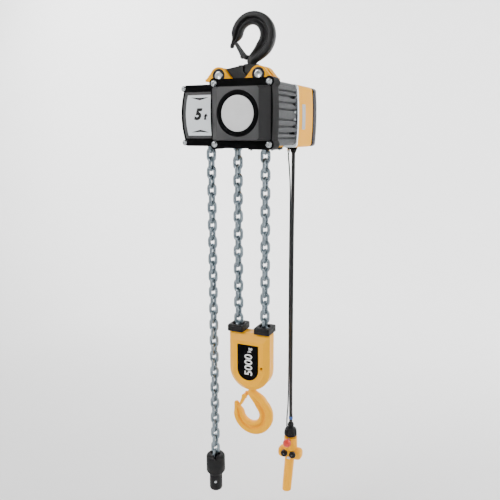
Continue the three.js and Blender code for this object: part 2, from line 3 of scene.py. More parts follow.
import bmesh
import bpy
import numpy as np
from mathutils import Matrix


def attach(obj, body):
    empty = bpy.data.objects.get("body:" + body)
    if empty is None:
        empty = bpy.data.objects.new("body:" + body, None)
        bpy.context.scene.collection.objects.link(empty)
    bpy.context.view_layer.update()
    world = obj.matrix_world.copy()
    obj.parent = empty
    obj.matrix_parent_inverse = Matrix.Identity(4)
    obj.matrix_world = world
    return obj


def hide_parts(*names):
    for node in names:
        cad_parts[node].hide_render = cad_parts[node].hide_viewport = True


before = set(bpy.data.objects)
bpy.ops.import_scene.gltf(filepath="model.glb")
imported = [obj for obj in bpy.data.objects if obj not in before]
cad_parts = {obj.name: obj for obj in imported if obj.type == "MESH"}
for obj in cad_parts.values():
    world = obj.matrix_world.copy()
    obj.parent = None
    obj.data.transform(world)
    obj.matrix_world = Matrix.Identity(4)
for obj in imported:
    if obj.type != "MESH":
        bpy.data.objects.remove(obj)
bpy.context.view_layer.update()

mm = 0.001


def linear(hexText):
    # sRGB hex to a linear colour with alpha
    parts = [int(hexText[i:i + 2], 16) / 255 for i in (1, 3, 5)]
    return [p / 12.92 if p <= 0.04045 else ((p + 0.055) / 1.055) ** 2.4 for p in parts] + [1.0]


def addNode(tree, kind, inputs=None, **settings):
    # one node with its settings, its values and its links
    made = tree.nodes.new(kind)
    for key, value in settings.items():
        setattr(made, key, value)
    for key, value in (inputs or {}).items():
        socket = made.inputs[key]
        if isinstance(value, bpy.types.NodeSocket):
            tree.links.new(value, socket)
        else:
            socket.default_value = value
    return made


def putMesh(name, points, faces):
    # points in millimetres; welds doubles and turns the faces outwards
    mesh = bpy.data.meshes.new(name)
    mesh.from_pydata((np.asarray(points, float) * mm).tolist(), [], faces)
    work = bmesh.new()
    work.from_mesh(mesh)
    bmesh.ops.remove_doubles(work, verts=work.verts, dist=0.00001)
    bmesh.ops.recalc_face_normals(work, faces=work.faces)
    work.to_mesh(mesh)
    work.free()
    mesh.shade_smooth()
    piece = bpy.data.objects.new(name, mesh)
    bpy.context.scene.collection.objects.link(piece)
    return piece


def gridFaces(rows, columns, wrapRows=False):
    # quads of a grid whose columns close on themselves
    i = np.arange(rows if wrapRows else rows - 1)[:, None]
    j = np.arange(columns)[None, :]
    nextI = (i + 1) % rows
    nextJ = (j + 1) % columns
    corners = [i * columns + j, i * columns + nextJ, nextI * columns + nextJ, nextI * columns + j]
    return np.stack(np.broadcast_arrays(*corners), -1).reshape(-1, 4)


def skin(name, rings, closed=False):
    # a surface through rings of equal count; open runs get a flat cap at each end
    rings = np.asarray(rings, float)
    rows, columns = rings.shape[:2]
    faces = gridFaces(rows, columns, closed).tolist()
    if not closed:
        faces.append(list(range(columns)))
        faces.append(list(range((rows - 1) * columns, rows * columns)))
    return putMesh(name, rings.reshape(-1, 3), faces)


def prism(name, outline, y0, y1):
    # an outline in XZ carried straight back from y0 to y1
    outline = np.asarray(outline, float)
    return skin(name, ringsOf([(outline, y0), (outline, y1)]))


def turnedPiece(name, profile, axis, centre, count=48):
    # a profile of [radius, height] turned once round an axis through centre; off the axis it closes on itself
    profile = np.asarray(profile, float)
    turn = np.linspace(0, 2 * math.pi, count, endpoint=False)
    u = profile[:, :1] * np.cos(turn)
    v = profile[:, :1] * np.sin(turn)
    h = np.repeat(profile[:, 1:], count, 1)
    order = {"x": (h, u, v), "y": (u, h, v), "z": (u, v, h)}[axis]
    return skin(name, np.stack(order, -1) + np.asarray(centre, float), closed=profile[0, 0] > 0)


def ringsOf(pairs):
    # outlines in XZ stood at their own y
    return [np.stack([line[:, 0], np.full(len(line), y), line[:, 1]], 1) for line, y in pairs]


def arc(x, z, radius, start, end, steps):
    # points on a circle, angles in degrees
    turn = np.radians(np.linspace(start, end, steps + 1))
    return np.stack([x + radius * np.cos(turn), z + radius * np.sin(turn)], 1)


def roundedRect(x, z, width, height, radius, steps=8):
    # a rectangle with quarter-circle corners
    u, v = width / 2 - radius, height / 2 - radius
    return np.concatenate([
        arc(x + u, z + v, radius, 0, 90, steps), arc(x - u, z + v, radius, 90, 180, steps),
        arc(x - u, z - v, radius, 180, 270, steps), arc(x + u, z - v, radius, 270, 360, steps)])


def frameAlong(path):
    # tangents and two side directions carried along a path without twist
    tangent = np.gradient(path, axis=0)
    tangent /= np.linalg.norm(tangent, axis=1)[:, None]
    side = np.cross(tangent[0], [0.0, 1.0, 0.0])
    if np.linalg.norm(side) < 0.1:
        side = np.cross(tangent[0], [1.0, 0.0, 0.0])
    sides = []
    for t in tangent:
        side = side - t * np.dot(side, t)
        side /= np.linalg.norm(side)
        sides.append(side)
    sides = np.array(sides)
    return tangent, sides, np.cross(tangent, sides)


def tubeAlong(name, path, radius, count=16):
    # a round section carried along a path; radius is one number or one per point
    path = np.asarray(path, float)
    _, side, up = frameAlong(path)
    turn = np.linspace(0, 2 * math.pi, count, endpoint=False)
    r = np.broadcast_to(radius, len(path))[:, None, None]
    ring = side[:, None, :] * np.cos(turn)[None, :, None] + up[:, None, :] * np.sin(turn)[None, :, None]
    return skin(name, path[:, None, :] + r * ring)


def smoothPath(points, steps):
    # a centripetal Catmull-Rom curve through the points, evenly resampled
    p = np.asarray(points, float)
    p = np.concatenate([[2 * p[0] - p[1]], p, [2 * p[-1] - p[-2]]])
    runs = []
    for a, b, c, d in zip(p, p[1:], p[2:], p[3:]):
        gaps = [max(np.linalg.norm(n - m) ** 0.5, 1e-4) for m, n in ((a, b), (b, c), (c, d))]
        knots = np.cumsum([0, *gaps])
        t = np.linspace(knots[1], knots[2], 24, endpoint=False)[:, None]
        mix = lambda m, n, i, j: ((knots[j] - t) * m + (t - knots[i]) * n) / (knots[j] - knots[i])
        ab, bc, cd = mix(a, b, 0, 1), mix(b, c, 1, 2), mix(c, d, 2, 3)
        runs.append(mix(mix(ab, bc, 0, 2), mix(bc, cd, 1, 3), 1, 2))
    line = np.concatenate([*runs, [p[-2]]])
    along = np.concatenate([[0], np.cumsum(np.linalg.norm(np.diff(line, axis=0), axis=1))])
    even = np.linspace(0, along[-1], steps + 1)
    return np.stack([np.interp(even, along, line[:, k]) for k in range(3)], 1)


def bevel(piece, width, segments=3, angle=30):
    # rounds the edges that turn more than the angle
    edge = piece.modifiers.new("rounded edges", "BEVEL")
    edge.width = width * mm
    edge.segments = segments
    edge.limit_method = "ANGLE"
    edge.angle_limit = math.radians(angle)
    edge.harden_normals = True
    edge.use_clamp_overlap = True
    return piece


def baked(piece):
    # the piece with its modifiers applied
    graph = bpy.context.evaluated_depsgraph_get()
    mesh = bpy.data.meshes.new_from_object(piece.evaluated_get(graph))
    piece.modifiers.clear()
    piece.data = mesh
    return piece


def combine(piece, operation, *tools):
    # joins or cuts a piece with tool solids, which are used up
    for tool in tools:
        step = piece.modifiers.new("step", "BOOLEAN")
        step.operation = operation
        step.solver = "EXACT"
        step.object = tool
        baked(piece)
        bpy.data.objects.remove(tool)
    piece.data.shade_smooth()
    return piece


def rod(name, radius, axis, start, end, centre, count=32):
    # a plain cylinder along one axis
    along = {"x": 0, "y": 1, "z": 2}[axis]
    place = list(centre)
    place[along] = 0
    return turnedPiece(name, [[0, start], [radius, start], [radius, end], [0, end]], axis, place, count)


def block(name, x0, x1, y0, y1, z0, z1):
    # a plain box between its limits
    return prism(name, [[x0, z0], [x1, z0], [x1, z1], [x0, z1]], y0, y1)


def dress(piece, material, body, slotName, *nodes):
    # material, body, a material slot name that is not used, and the CAD nodes that the piece stands for
    piece.data.materials.clear()
    piece.data.materials.append(material)
    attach(piece, body)
    if nodes:
        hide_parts(*nodes)
    return piece


def finish(name, look):
    # Shared build of a finish: a slow colour drift between two shades, roughness that wanders with it,
    # and a fine bump of the real grain size. Sizes are in millimetres.
    material = bpy.data.materials.new(name)
    material.use_nodes = True
    tree = material.node_tree
    shader = tree.nodes["Principled BSDF"]
    place = addNode(tree, "ShaderNodeTexCoord").outputs["Object"]
    drift = addNode(tree, "ShaderNodeTexNoise",
                    {"Vector": place, "Scale": 1000 / look["drift"], "Detail": 5.0, "Roughness": 0.6})
    shade = addNode(tree, "ShaderNodeMix", {
        "Factor": drift.outputs["Fac"], "A": linear(look["dark"]),
        "B": linear(look["light"])}, data_type="RGBA")
    colour = shade.outputs["Result"]
    if "speck" in look:
        spots = addNode(tree, "ShaderNodeTexNoise",
                        {"Vector": place, "Scale": 1000 / look["speckSize"], "Detail": 2.0})
        few = addNode(tree, "ShaderNodeMapRange", {
            "Value": spots.outputs["Fac"], "From Min": 0.6, "From Max": 0.72, "To Max": look["speckShare"]})
        spotted = addNode(tree, "ShaderNodeMix", {
            "Factor": few.outputs["Result"], "A": colour, "B": linear(look["speck"])}, data_type="RGBA")
        colour = spotted.outputs["Result"]
    tree.links.new(colour, shader.inputs["Base Color"])
    rough = addNode(tree, "ShaderNodeMapRange", {
        "Value": drift.outputs["Fac"], "From Min": 0.3, "From Max": 0.7,
        "To Min": look["rough"][0], "To Max": look["rough"][1]})
    tree.links.new(rough.outputs["Result"], shader.inputs["Roughness"])
    grain = addNode(tree, "ShaderNodeTexNoise",
                    {"Vector": place, "Scale": 1000 / look["grain"], "Detail": 3.0, "Roughness": 0.55})
    bump = addNode(tree, "ShaderNodeBump",
                   {"Height": grain.outputs["Fac"], "Strength": look["bump"],
                    "Distance": look["depth"] * mm})
    tree.links.new(bump.outputs["Normal"], shader.inputs["Normal"])
    shader.inputs["Metallic"].default_value = look.get("metallic", 0.0)
    shader.inputs["Specular IOR Level"].default_value = look.get("gloss", 0.5)
    shader.inputs["Coat Weight"].default_value = look.get("coat", 0.0)
    shader.inputs["Coat Roughness"].default_value = 0.2
    if not look.get("metallic"):
        shader.inputs["IOR"].default_value = look.get("ior", 1.5)
    return material


# Glass-filled nylon, moulded: a dull dark grey with a fine spark-eroded grain.
greyNylon = finish("glass-filled nylon, grey", {
    "dark": "#3c3c3d", "light": "#484849", "drift": 60, "rough": (0.42, 0.55),
    "gloss": 0.25, "grain": 0.9, "bump": 0.35, "depth": 0.12, "ior": 1.53})
# The same grey nylon made darker as painted shade, for the sloping sides of the cover.
paintedShadeNylon = finish("glass-filled nylon, grey with painted shade", {
    "dark": "#262627", "light": "#303031", "drift": 60, "rough": (0.48, 0.6), "gloss": 0.2,
    "grain": 0.9, "bump": 0.35, "depth": 0.12, "ior": 1.53})
# The same plastic in black, for the rims and bars.
blackNylon = finish("glass-filled nylon, black", {
    "dark": "#080809", "light": "#0d0d0e", "drift": 50, "rough": (0.4, 0.52),
    "gloss": 0.02, "grain": 0.9, "bump": 0.35, "depth": 0.12, "ior": 1.53})
# ABS end cap, slightly violet grey, a little smoother than the nylon.
capPlastic = finish("abs, dark grey", {
    "dark": "#1c1a20", "light": "#26242b", "drift": 45, "rough": (0.4, 0.5),
    "gloss": 0.05, "grain": 1.0, "bump": 0.3, "depth": 0.1, "ior": 1.53})
# Pearl-lacquered disc: pale satin with a very soft sheen.
pearlLacquer = finish("pearl lacquer on abs", {
    "dark": "#c9c9ca", "light": "#dedede", "drift": 40, "rough": (0.28, 0.36),
    "grain": 0.5, "bump": 0.1, "depth": 0.03, "coat": 0.3, "ior": 1.5})
# Printed polyester film over the capacity plate.
polyesterFilm = finish("polyester film, pale", {
    "dark": "#d9dfe4", "light": "#e6ebee", "drift": 80, "rough": (0.32, 0.4),
    "grain": 2.0, "bump": 0.08, "depth": 0.05, "ior": 1.57})
filmInk = finish("screen ink, dark grey", {
    "dark": "#161617", "light": "#1e1e1f", "drift": 12, "rough": (0.4, 0.5),
    "gloss": 0.2, "grain": 0.6, "bump": 0.15, "depth": 0.03, "ior": 1.5})
whiteInk = finish("screen ink, white", {
    "dark": "#e4e4e2", "light": "#f2f2f0", "drift": 12, "rough": (0.4, 0.5),
    "grain": 0.6, "bump": 0.15, "depth": 0.03, "ior": 1.5})
greyInk = finish("screen ink, cool grey", {
    "dark": "#3c3e40", "light": "#484b4d", "drift": 12, "rough": (0.4, 0.5),
    "grain": 0.6, "bump": 0.15, "depth": 0.03, "ior": 1.5})
# Bead-blasted aluminium: a mid grey with a soft grain and a few darker spots.
blastedAluminium = finish("bead-blasted aluminium", {
    "dark": "#2c2d2f", "light": "#434547", "drift": 18, "rough": (0.48, 0.62), "metallic": 1.0,
    "grain": 0.8, "bump": 0.4, "depth": 0.12, "speck": "#323335", "speckSize": 6, "speckShare": 0.5})
machinedAluminium = finish("machined aluminium", {
    "dark": "#b9bfc4", "light": "#d0d5d9", "drift": 12, "rough": (0.22, 0.34), "metallic": 1.0,
    "grain": 0.6, "bump": 0.15, "depth": 0.05})
# Powder coat, yellow: orange peel about 2 mm across and a low gloss.
yellowPowder = finish("powder coat, signal yellow", {
    "dark": "#fba700", "light": "#ffb600", "drift": 70, "rough": (0.42, 0.52),
    "gloss": 0.05, "grain": 2.2, "bump": 0.25, "depth": 0.1, "coat": 0.0, "ior": 1.5})
# Enamel over the rough skin of a drop forging.
yellowEnamel = finish("enamel on forging, yellow", {
    "dark": "#fba800", "light": "#ffb804", "drift": 45, "rough": (0.3, 0.42),
    "gloss": 0.15, "grain": 3.5, "bump": 0.35, "depth": 0.3, "coat": 0.0, "ior": 1.5})
yellowNylon = finish("glass-filled nylon, yellow", {
    "dark": "#f9a600", "light": "#ffb402", "drift": 35, "rough": (0.36, 0.48),
    "gloss": 0.15, "grain": 0.8, "bump": 0.3, "depth": 0.1, "ior": 1.53})
# Phosphated and oiled drop forging: dark grey, a scaly skin, soft highlights.
phosphatedSteel = finish("phosphated steel forging", {
    "dark": "#191919", "light": "#262627", "drift": 30, "rough": (0.42, 0.6), "metallic": 0.35,
    "gloss": 0.35, "grain": 2.5, "bump": 0.4, "depth": 0.25, "speck": "#121213", "speckSize": 5,
    "speckShare": 0.6})
# Bright zinc plate on the chain: silver with a cool cast and slightly duller patches.
zincChain = finish("zinc-plated chain steel", {
    "dark": "#667178", "light": "#9ba7ae", "drift": 9, "rough": (0.22, 0.4), "metallic": 1.0,
    "grain": 1.5, "bump": 0.2, "depth": 0.06, "speck": "#6d787e", "speckSize": 4, "speckShare": 0.5})
zincPlate = finish("zinc-plated steel", {
    "dark": "#9fa4a7", "light": "#c0c4c6", "drift": 8, "rough": (0.2, 0.32), "metallic": 0.9,
    "grain": 0.6, "bump": 0.12, "depth": 0.04})
groundSteel = finish("ground steel", {
    "dark": "#8f9294", "light": "#a9acae", "drift": 15, "rough": (0.2, 0.35), "metallic": 1.0,
    "grain": 0.5, "bump": 0.15, "depth": 0.04})
blackOxide = finish("black oxide steel", {
    "dark": "#141415", "light": "#1d1d1f", "drift": 10, "rough": (0.35, 0.5), "metallic": 0.5,
    "grain": 0.7, "bump": 0.2, "depth": 0.05})
enamelledCopper = finish("enamelled copper winding", {
    "dark": "#7a3b1e", "light": "#a85a30", "drift": 6, "rough": (0.3, 0.45), "metallic": 0.9,
    "grain": 1.2, "bump": 0.5, "depth": 0.3})
# Nitrile rubber: nearly black, matt, a faint dusty bloom.
nitrileRubber = finish("nitrile rubber", {
    "dark": "#0e0e0f", "light": "#151516", "drift": 22, "rough": (0.62, 0.78),
    "gloss": 0.25, "grain": 1.2, "bump": 0.4, "depth": 0.15, "speck": "#232324", "speckSize": 5,
    "speckShare": 0.5, "ior": 1.52})
pvcSheath = finish("pvc cable sheath", {
    "dark": "#151516", "light": "#1e1e20", "drift": 20, "rough": (0.45, 0.58),
    "gloss": 0.3, "grain": 1.0, "bump": 0.25, "depth": 0.08, "ior": 1.53})
reliefSheath = finish("pvc over steel cord, grey", {
    "dark": "#1a1b1c", "light": "#26282a", "drift": 15, "rough": (0.4, 0.55),
    "gloss": 0.3, "grain": 0.8, "bump": 0.3, "depth": 0.08, "ior": 1.53})
redAcetal = finish("acetal, red", {
    "dark": "#d42a20", "light": "#e63a2e", "drift": 14, "rough": (0.28, 0.36),
    "grain": 0.8, "bump": 0.15, "depth": 0.05, "coat": 0.2, "ior": 1.48})
satinStrip = finish("satin polyester strip, grey", {
    "dark": "#8f979c", "light": "#a3abaf", "drift": 14, "rough": (0.35, 0.45),
    "grain": 0.8, "bump": 0.2, "depth": 0.05, "ior": 1.57})
blueNylon = finish("nylon tie, blue", {
    "dark": "#1f4488", "light": "#2b57a5", "drift": 8, "rough": (0.35, 0.45),
    "grain": 0.6, "bump": 0.2, "depth": 0.05, "ior": 1.53})
print("finishes ready")


cameraSetup = {"place": (0.7995, -1.803, -0.3453), "azimuth": 24.0, "tilt": 11.4, "roll": -0.06,
               "lens": 41.54, "shift": -0.0016}


def makeCamera():
    # looks down by tilt and turned to the left by azimuth
    data = bpy.data.cameras.new("camera")
    data.lens = cameraSetup["lens"]
    data.sensor_width = 36
    data.shift_x = cameraSetup["shift"]
    data.clip_start = 0.05
    data.clip_end = 60
    camera = bpy.data.objects.new("camera", data)
    camera.location = cameraSetup["place"]
    camera.rotation_euler = [math.radians(90 - cameraSetup["tilt"]), 0,
                             math.radians(cameraSetup["azimuth"])]
    camera.rotation_euler.rotate_axis("Z", math.radians(cameraSetup["roll"]))
    bpy.context.scene.collection.objects.link(camera)
    bpy.context.scene.camera = camera


# Route points in millimetres: out of the gland, straight down, a slight lean to the boot.
cordRoutes = {
    "cable": [[86, 177, -412.3], [86, 177, -450], [85.5, 177, -600], [85.5, 177, -760], [86, 177, -920],
              [87, 177, -1080], [88, 177, -1240], [89, 177, -1400], [90, 177, -1435], [90, 177, -1458.3]],
    "relief": [[67, 177, -412.3], [67, 177, -426], [70.5, 177, -460], [75, 177, -530], [76, 177, -600],
               [76, 177, -760], [76.5, 177, -920], [77.5, 177, -1080], [78.5, 177, -1240],
               [77.5, 177, -1380], [73.5, 177, -1450], [73.5, 177, -1470], [73.5, 177, -1483.3]],
    "cableDiameter": 13.0,
    "reliefDiameter": 5.0,
}


def makeCords():
    # each lead is a round tube along its smoothed route
    path = smoothPath(cordRoutes["cable"], 160)
    cable = tubeAlong("pendant_lead", path, cordRoutes["cableDiameter"] / 2, 20)
    dress(cable, pvcSheath, "pendant", "cable_sheath", "pendant_cable")
    path = smoothPath(cordRoutes["relief"], 160)
    relief = tubeAlong("relief_line", path, cordRoutes["reliefDiameter"] / 2, 12)
    dress(relief, reliefSheath, "pendant", "cable_sheath", "relief_cord")


makeCamera()
makeCords()
print("camera and cords")


chain = {"pitch": 31.0, "wire": 11.3, "width": 37.0, "pathPoints": 28, "ringPoints": 12}
falls = {
    "slack_fall": {"x": -153, "top": -235, "bottom": -1592, "body": "slack_fall", "first": 1},
    "lifting_fall": {"x": -51, "top": -322, "bottom": -1120, "body": "lifting_fall", "first": 1},
    "standing_fall": {"x": 51, "top": -300, "bottom": -1110, "body": "hoist_body", "first": 1},
}


def linkSurface():
    # Wire carried round a stadium: two half circles and two straight legs.
    count = chain["pathPoints"]
    r = (chain["width"] - chain["wire"]) / 2
    half = (chain["pitch"] + 2 * chain["wire"] - chain["width"]) / 2
    steps = count // 2 - 1
    line = np.concatenate([arc(0, half, r, 0, 180, steps), arc(0, -half, r, 180, 360, steps)])
    centre = np.stack([line[:, 0], np.zeros(len(line)), line[:, 1]], 1)
    outward = np.stack([line[:, 0], np.zeros(len(line)), line[:, 1] - np.clip(line[:, 1], -half, half)], 1)
    outward /= np.linalg.norm(outward, axis=1)[:, None]
    turn = np.linspace(0, 2 * math.pi, chain["ringPoints"], endpoint=False)
    ring = outward[:, None, :] * np.cos(turn)[None, :,
                                              None] + np.array([0.0, 1.0, 0.0]) * np.sin(turn)[None, :,
                                                                                               None]
    return centre[:, None, :] + chain["wire"] / 2 * ring


def makeFall(name, fall):
    # every other link is turned a quarter about the vertical
    link = linkSurface()
    rows, columns = link.shape[:2]
    length = chain["pitch"] + 2 * chain["wire"]
    count = int((fall["top"] - fall["bottom"] + 1 - length) // chain["pitch"]) + 1
    heights = fall["top"] - length / 2 - chain["pitch"] * np.arange(count)
    turned = (np.arange(count) + fall["first"]) % 2 == 1
    flat = link.reshape(-1, 3)
    quarter = flat[:, [1, 0, 2]] * [-1, 1, 1]
    points = np.where(turned[:, None, None], quarter[None], flat[None])
    points = points + np.stack([np.full(count, fall["x"]), np.zeros(count), heights], 1)[:, None, :]
    faces = gridFaces(rows, columns, True)
    allFaces = (faces[None] + (np.arange(count) * rows * columns)[:, None, None]).reshape(-1, 4)
    piece = putMesh(name + "_links", points.reshape(-1, 3), allFaces.tolist())
    dress(piece, zincChain, fall["body"], "bright_steel", name)


for fallName, fallData in falls.items():
    makeFall(fallName, fallData)
print("chain")


hook = {
    "seatRadius": 32.0, "outerRadius": 77.0, "outerX": 7.0, "lift": {"top": -4.0, "load": 4.0},
    "shank": 17.0, "thickness": 17.0, "earRadius": 8.5, "earRoot": -14.0, "earThickness": 3.8,
    "ears": (("near", -16.2), ("far", 12.4)), "loadSeat": -1387.0, "latchPivot": (-25.5, -98.0),
    "latchWidth": 24.0, "latchLength": {"top": 55.0, "load": 48.0},
    "latchLean": {"top": 34.0, "load": 25.0},
}


def hookCentreline(end):
    # x, z, half width in the plane, half thickness, and how far the forged section has turned round
    rows = {"top": [[-70.4, -69.2, 3.5, 3.5, 1], [-70.5, -67.0, 6.8, 6.6, 1], [-70.0, -62.0, 7.6, 7.4, 1],
                    [-68.2, -57.0, 6.8, 7.0, 0.9], [-65.0, -51.5, 7.2, 8.0, 0.8],
                    [-61.0, -46.5, 9.4, 9.6, 0.5], [-57, -41.5, 12.0, 12.0, 0.2]],
            "load": [[-61.5, -67.0, 4.5, 4.5, 1], [-61.6, -64.0, 8.6, 8.4, 1],
                     [-61.2, -58.0, 9.6, 9.4, 0.9], [-60.0, -51.0, 10.4, 10.4, 0.7],
                     [-57.4, -43.5, 12.2, 12.0, 0.3]]}[end]
    angles = np.radians(np.linspace(177, -45, 25))
    offX, offZ = hook["outerX"], hook["lift"][end]
    along = offX * np.cos(angles) + offZ * np.sin(angles)
    across = offX * np.sin(angles) - offZ * np.cos(angles)
    outer = along + np.sqrt(hook["outerRadius"] ** 2 - across ** 2)
    middle = (outer + hook["seatRadius"]) / 2
    ringPart = np.stack([middle * np.cos(angles), middle * np.sin(angles) - hook["seatRadius"],
                         (outer - hook["seatRadius"]) / 2, np.full(25, hook["thickness"]), np.zeros(25)], 1)
    shank, deep = hook["shank"], hook["thickness"]
    rows = np.concatenate([rows, ringPart, [
        [33.5, -83.0, 24.0, deep, 0.1], [24, -91.5, 21.5, deep, 0.35], [14.5, -99, 19.5, deep, 0.6],
        [6.5, -106, 18.0, deep, 0.85], [1.5, -114, shank, shank, 1], [0, -121, shank, shank, 1]]])
    return rows


def forgedSection():
    # Across runs from the outer edge (+1) to the seat (-1): a flat web, a groove, then a full inner lip.
    across = [1.0, 1.0, 0.95, 0.86, 0.70, 0.30, 0.12, 0.04, -0.12, -0.34, -0.42, -0.60, -0.84, -0.97, -1.0]
    deep = [0.0, 0.40, 0.66, 0.78, 0.84, 0.86, 0.84, 0.34, 0.26, 0.34, 0.86, 0.95, 0.80, 0.42, 0.0]
    u = np.array(across + across[-2:0:-1])
    v = np.array(deep + [-d for d in deep[-2:0:-1]])
    return u, v


def makeHook(name, shankEnd, threadEnd, flip, material, body, slotName, node):
    # Each ring lies across the centreline, u along its left-hand normal and v straight back.
    # A plain round shank follows.
    rows = hookCentreline("load" if flip else "top")
    u, v = forgedSection()
    turn = np.linspace(0, 2 * math.pi, len(u), endpoint=False)
    roundU, roundV = np.cos(turn), np.sin(turn)
    tangent = np.gradient(rows[:, :2], axis=0)
    tangent /= np.linalg.norm(tangent, axis=1)[:, None]
    tangent[-1] = [0, -1]
    blend = rows[:, 4:5]
    ringU = (u * (1 - blend) + roundU * blend) * rows[:, 2:3]
    ringV = (v * (1 - blend) + roundV * blend) * rows[:, 3:4]
    x = rows[:, :1] - ringU * tangent[:, 1:]
    z = rows[:, 1:2] + ringU * tangent[:, :1]
    rings = np.stack([x, ringV, z], -1)
    straight = [[hook["shank"], -shankEnd + 1.0], [15.8, -shankEnd], [15, -shankEnd - 0.2],
                [15, -threadEnd + 1.5], [13.5, -threadEnd]]
    for radius, height in straight:
        rings = np.concatenate([rings,
                                [np.stack([-radius * roundU, radius * roundV, np.full(len(u), height)],
                                          1)]])
    if flip:
        rings = rings * [1, -1, -1] + [0, 0, hook["loadSeat"]]
    piece = skin(name, rings)
    smooth = piece.modifiers.new("smooth", "SUBSURF")
    smooth.levels = smooth.render_levels = 1
    dress(piece, material, body, slotName, node)
    px, pz = hook["latchPivot"]
    # two ears hold the latch pin: a round end carried across to the shank
    radius, root = hook["earRadius"], hook["earRoot"]
    cheek = np.concatenate([arc(px, pz, radius, 70, 290, 16), [[root, pz - radius], [root, pz + 6]]])
    for side, y0 in hook["ears"]:
        ear = ringsOf([(cheek, y0), (cheek, y0 + hook["earThickness"])])
        ear = np.array(ear) * [1, -1, -1] + [0, 0, hook["loadSeat"]] if flip else np.array(ear)
        ear = bevel(skin("%s_ear_%s" % (name, side), ear), 1.2, 3, 35)
        dress(ear, material, body, slotName)


makeHook("top_hook_forging", 150, 172, False, phosphatedSteel, "top_hook", "forged_steel", "top_hook")
makeHook("load_hook_forging", 170, 190, True, yellowEnamel, "load_hook", "yellow_paint", "load_hook")


def makeLatch(name, flip, material, body, slotName, node):
    # A tongue of channel section, narrower towards its tip, and a pin with a riveted head at each end.
    end = "load" if flip else "top"
    half, length = hook["latchWidth"] / 2, hook["latchLength"][end]
    lean = math.radians(hook["latchLean"][end])
    px, pz = hook["latchPivot"]

    def placed(points):
        points = np.asarray(points, float)
        x = points[..., 0] * math.cos(lean) - points[..., 2] * math.sin(lean)
        z = points[..., 0] * math.sin(lean) + points[..., 2] * math.cos(lean)
        out = np.stack([x + px, points[..., 1], z + pz], -1)
        return out * [1, -1, -1] + [0, 0, hook["loadSeat"]] if flip else out

    heights = np.array([-5.0, 0.0, 8.0, 20.0, 34.0, 44.0, length - 3, length])
    widths = np.array([7.0, half, half, half * 0.92, half * 0.8, half * 0.74, half * 0.7, half * 0.55])
    deep = np.array([5.0, 7.4, 7.0, 5.6, 5.0, 4.6, 4.4, 3.2])
    section = np.array([[1, -1], [1, 1], [0.55, 1], [0.5, 0.1], [-0.5, 0.1], [-0.55, 1], [-1, 1], [-1, -1]])
    rings = np.stack([section[None, :, 1] * deep[:, None], section[None, :, 0] * widths[:, None],
                      np.repeat(heights[:, None], 8, 1)], -1)
    tongue = bevel(skin(name, placed(rings)), 0.8, 2)
    dress(tongue, material, body, slotName, node)
    pin = turnedPiece(name + "_pin",
                      [[0, -half - 2.4], [3.6, -half - 2.4], [4.4, -half - 1.2], [4.4, -half - 0.2],
                                      [3.0, -half], [3.0, half], [4.4, half + 0.2], [4.4, half + 1.2],
                                      [3.6, half + 2.4], [0, half + 2.4]], "y", [0, 0, 0], 24)
    points = np.empty(len(pin.data.vertices) * 3)
    pin.data.vertices.foreach_get("co", points)
    pin.data.vertices.foreach_set("co", (placed(points.reshape(-1, 3) / mm) * mm).ravel())
    dress(pin, material, body, slotName)


makeLatch("top_latch_tongue", False, phosphatedSteel, "top_latch", "forged_steel", "top_latch")
makeLatch("load_latch_tongue", True, yellowEnamel, "load_hook_latch", "yellow_paint", "load_hook_latch")
print("hooks")


# Suspension. A front plate with an ear in each clevis, a block round the shank, and the clevis lugs.
suspension = {
    "lugX": 68.5, "pinZ": -165.0, "archZ": -168.5, "archRadius": 30.0, "foot": 45.0, "plateTop": -174.2,
    "plateBottom": -181.7, "lugsY": ((-104.0, -88.2), (-72.3, -40.0)), "plateY": (-87.5, -73.0),
    "blockY": (-38.0, 44.0), "pin": 13.9, "bush": 21.5, "fold": 16.0,
}


def makeYoke():
    # A plate with an ear at each pin, joined by a neck to a bored block, with a step at the fold.
    s = suspension
    outline = [[-88, -173.5], [-88, -158], [-74, -147], [-40, -142], [12, -133.5], [52, -134], [74, -143],
               [88, -156], [88, -173.5]]
    body = prism("yoke_forging", outline, *s["plateY"])
    middle = [[-46, -173.5], [-46, -150], [-28, -128], [28, -128], [46, -150], [46, -173.5]]
    shankBlock = prism("tool", middle, *s["blockY"])
    neck = block("tool", -22, 22, s["plateY"][1] - 1, s["blockY"][0] + 1, -173.5, -140)
    combine(body, "UNION", neck, shankBlock)
    fold = [[s["fold"] - 4, -130], [s["fold"] - 4, -149], [s["fold"] + 11, -168], [s["fold"] + 11, -176],
            [95, -176], [95, -130]]
    step = prism("tool", fold, s["plateY"][0] - 5, s["plateY"][0] + 3)
    fx, fy = s["fold"] - 4, s["plateY"][0]
    groove = prism("tool", [[fx - 3, -125], [fx - 3, -151], [fx + 18, -180], [fx + 26, -180],
                            [fx + 3, -148], [fx + 3, -125]], fy - 3, fy + 8)
    pins = [rod("tool", s["pin"] + 0.3, "y", -95, -60, (x, 0, s["pinZ"])) for x in (-s["lugX"], s["lugX"])]
    combine(body, "DIFFERENCE", step, groove, rod("tool", 17.6, "z", -200, -100, (0, 0, 0)),
            rod("tool", 33, "z", -175, -149, (0, 0, 0)), *pins)
    bevel(body, 1.8, 3, 40)
    dress(body, phosphatedSteel, "hoist_body", "forged_steel", "suspension_yoke")
    collar = turnedPiece("yoke_collar",
                         [[17.8, -128.4], [26, -128.4], [26, -124.5], [24.5, -123], [19, -123],
                                         [17.8, -123.8]], "z", [0, 0, 0], 48)
    dress(collar, phosphatedSteel, "hoist_body", "forged_steel")


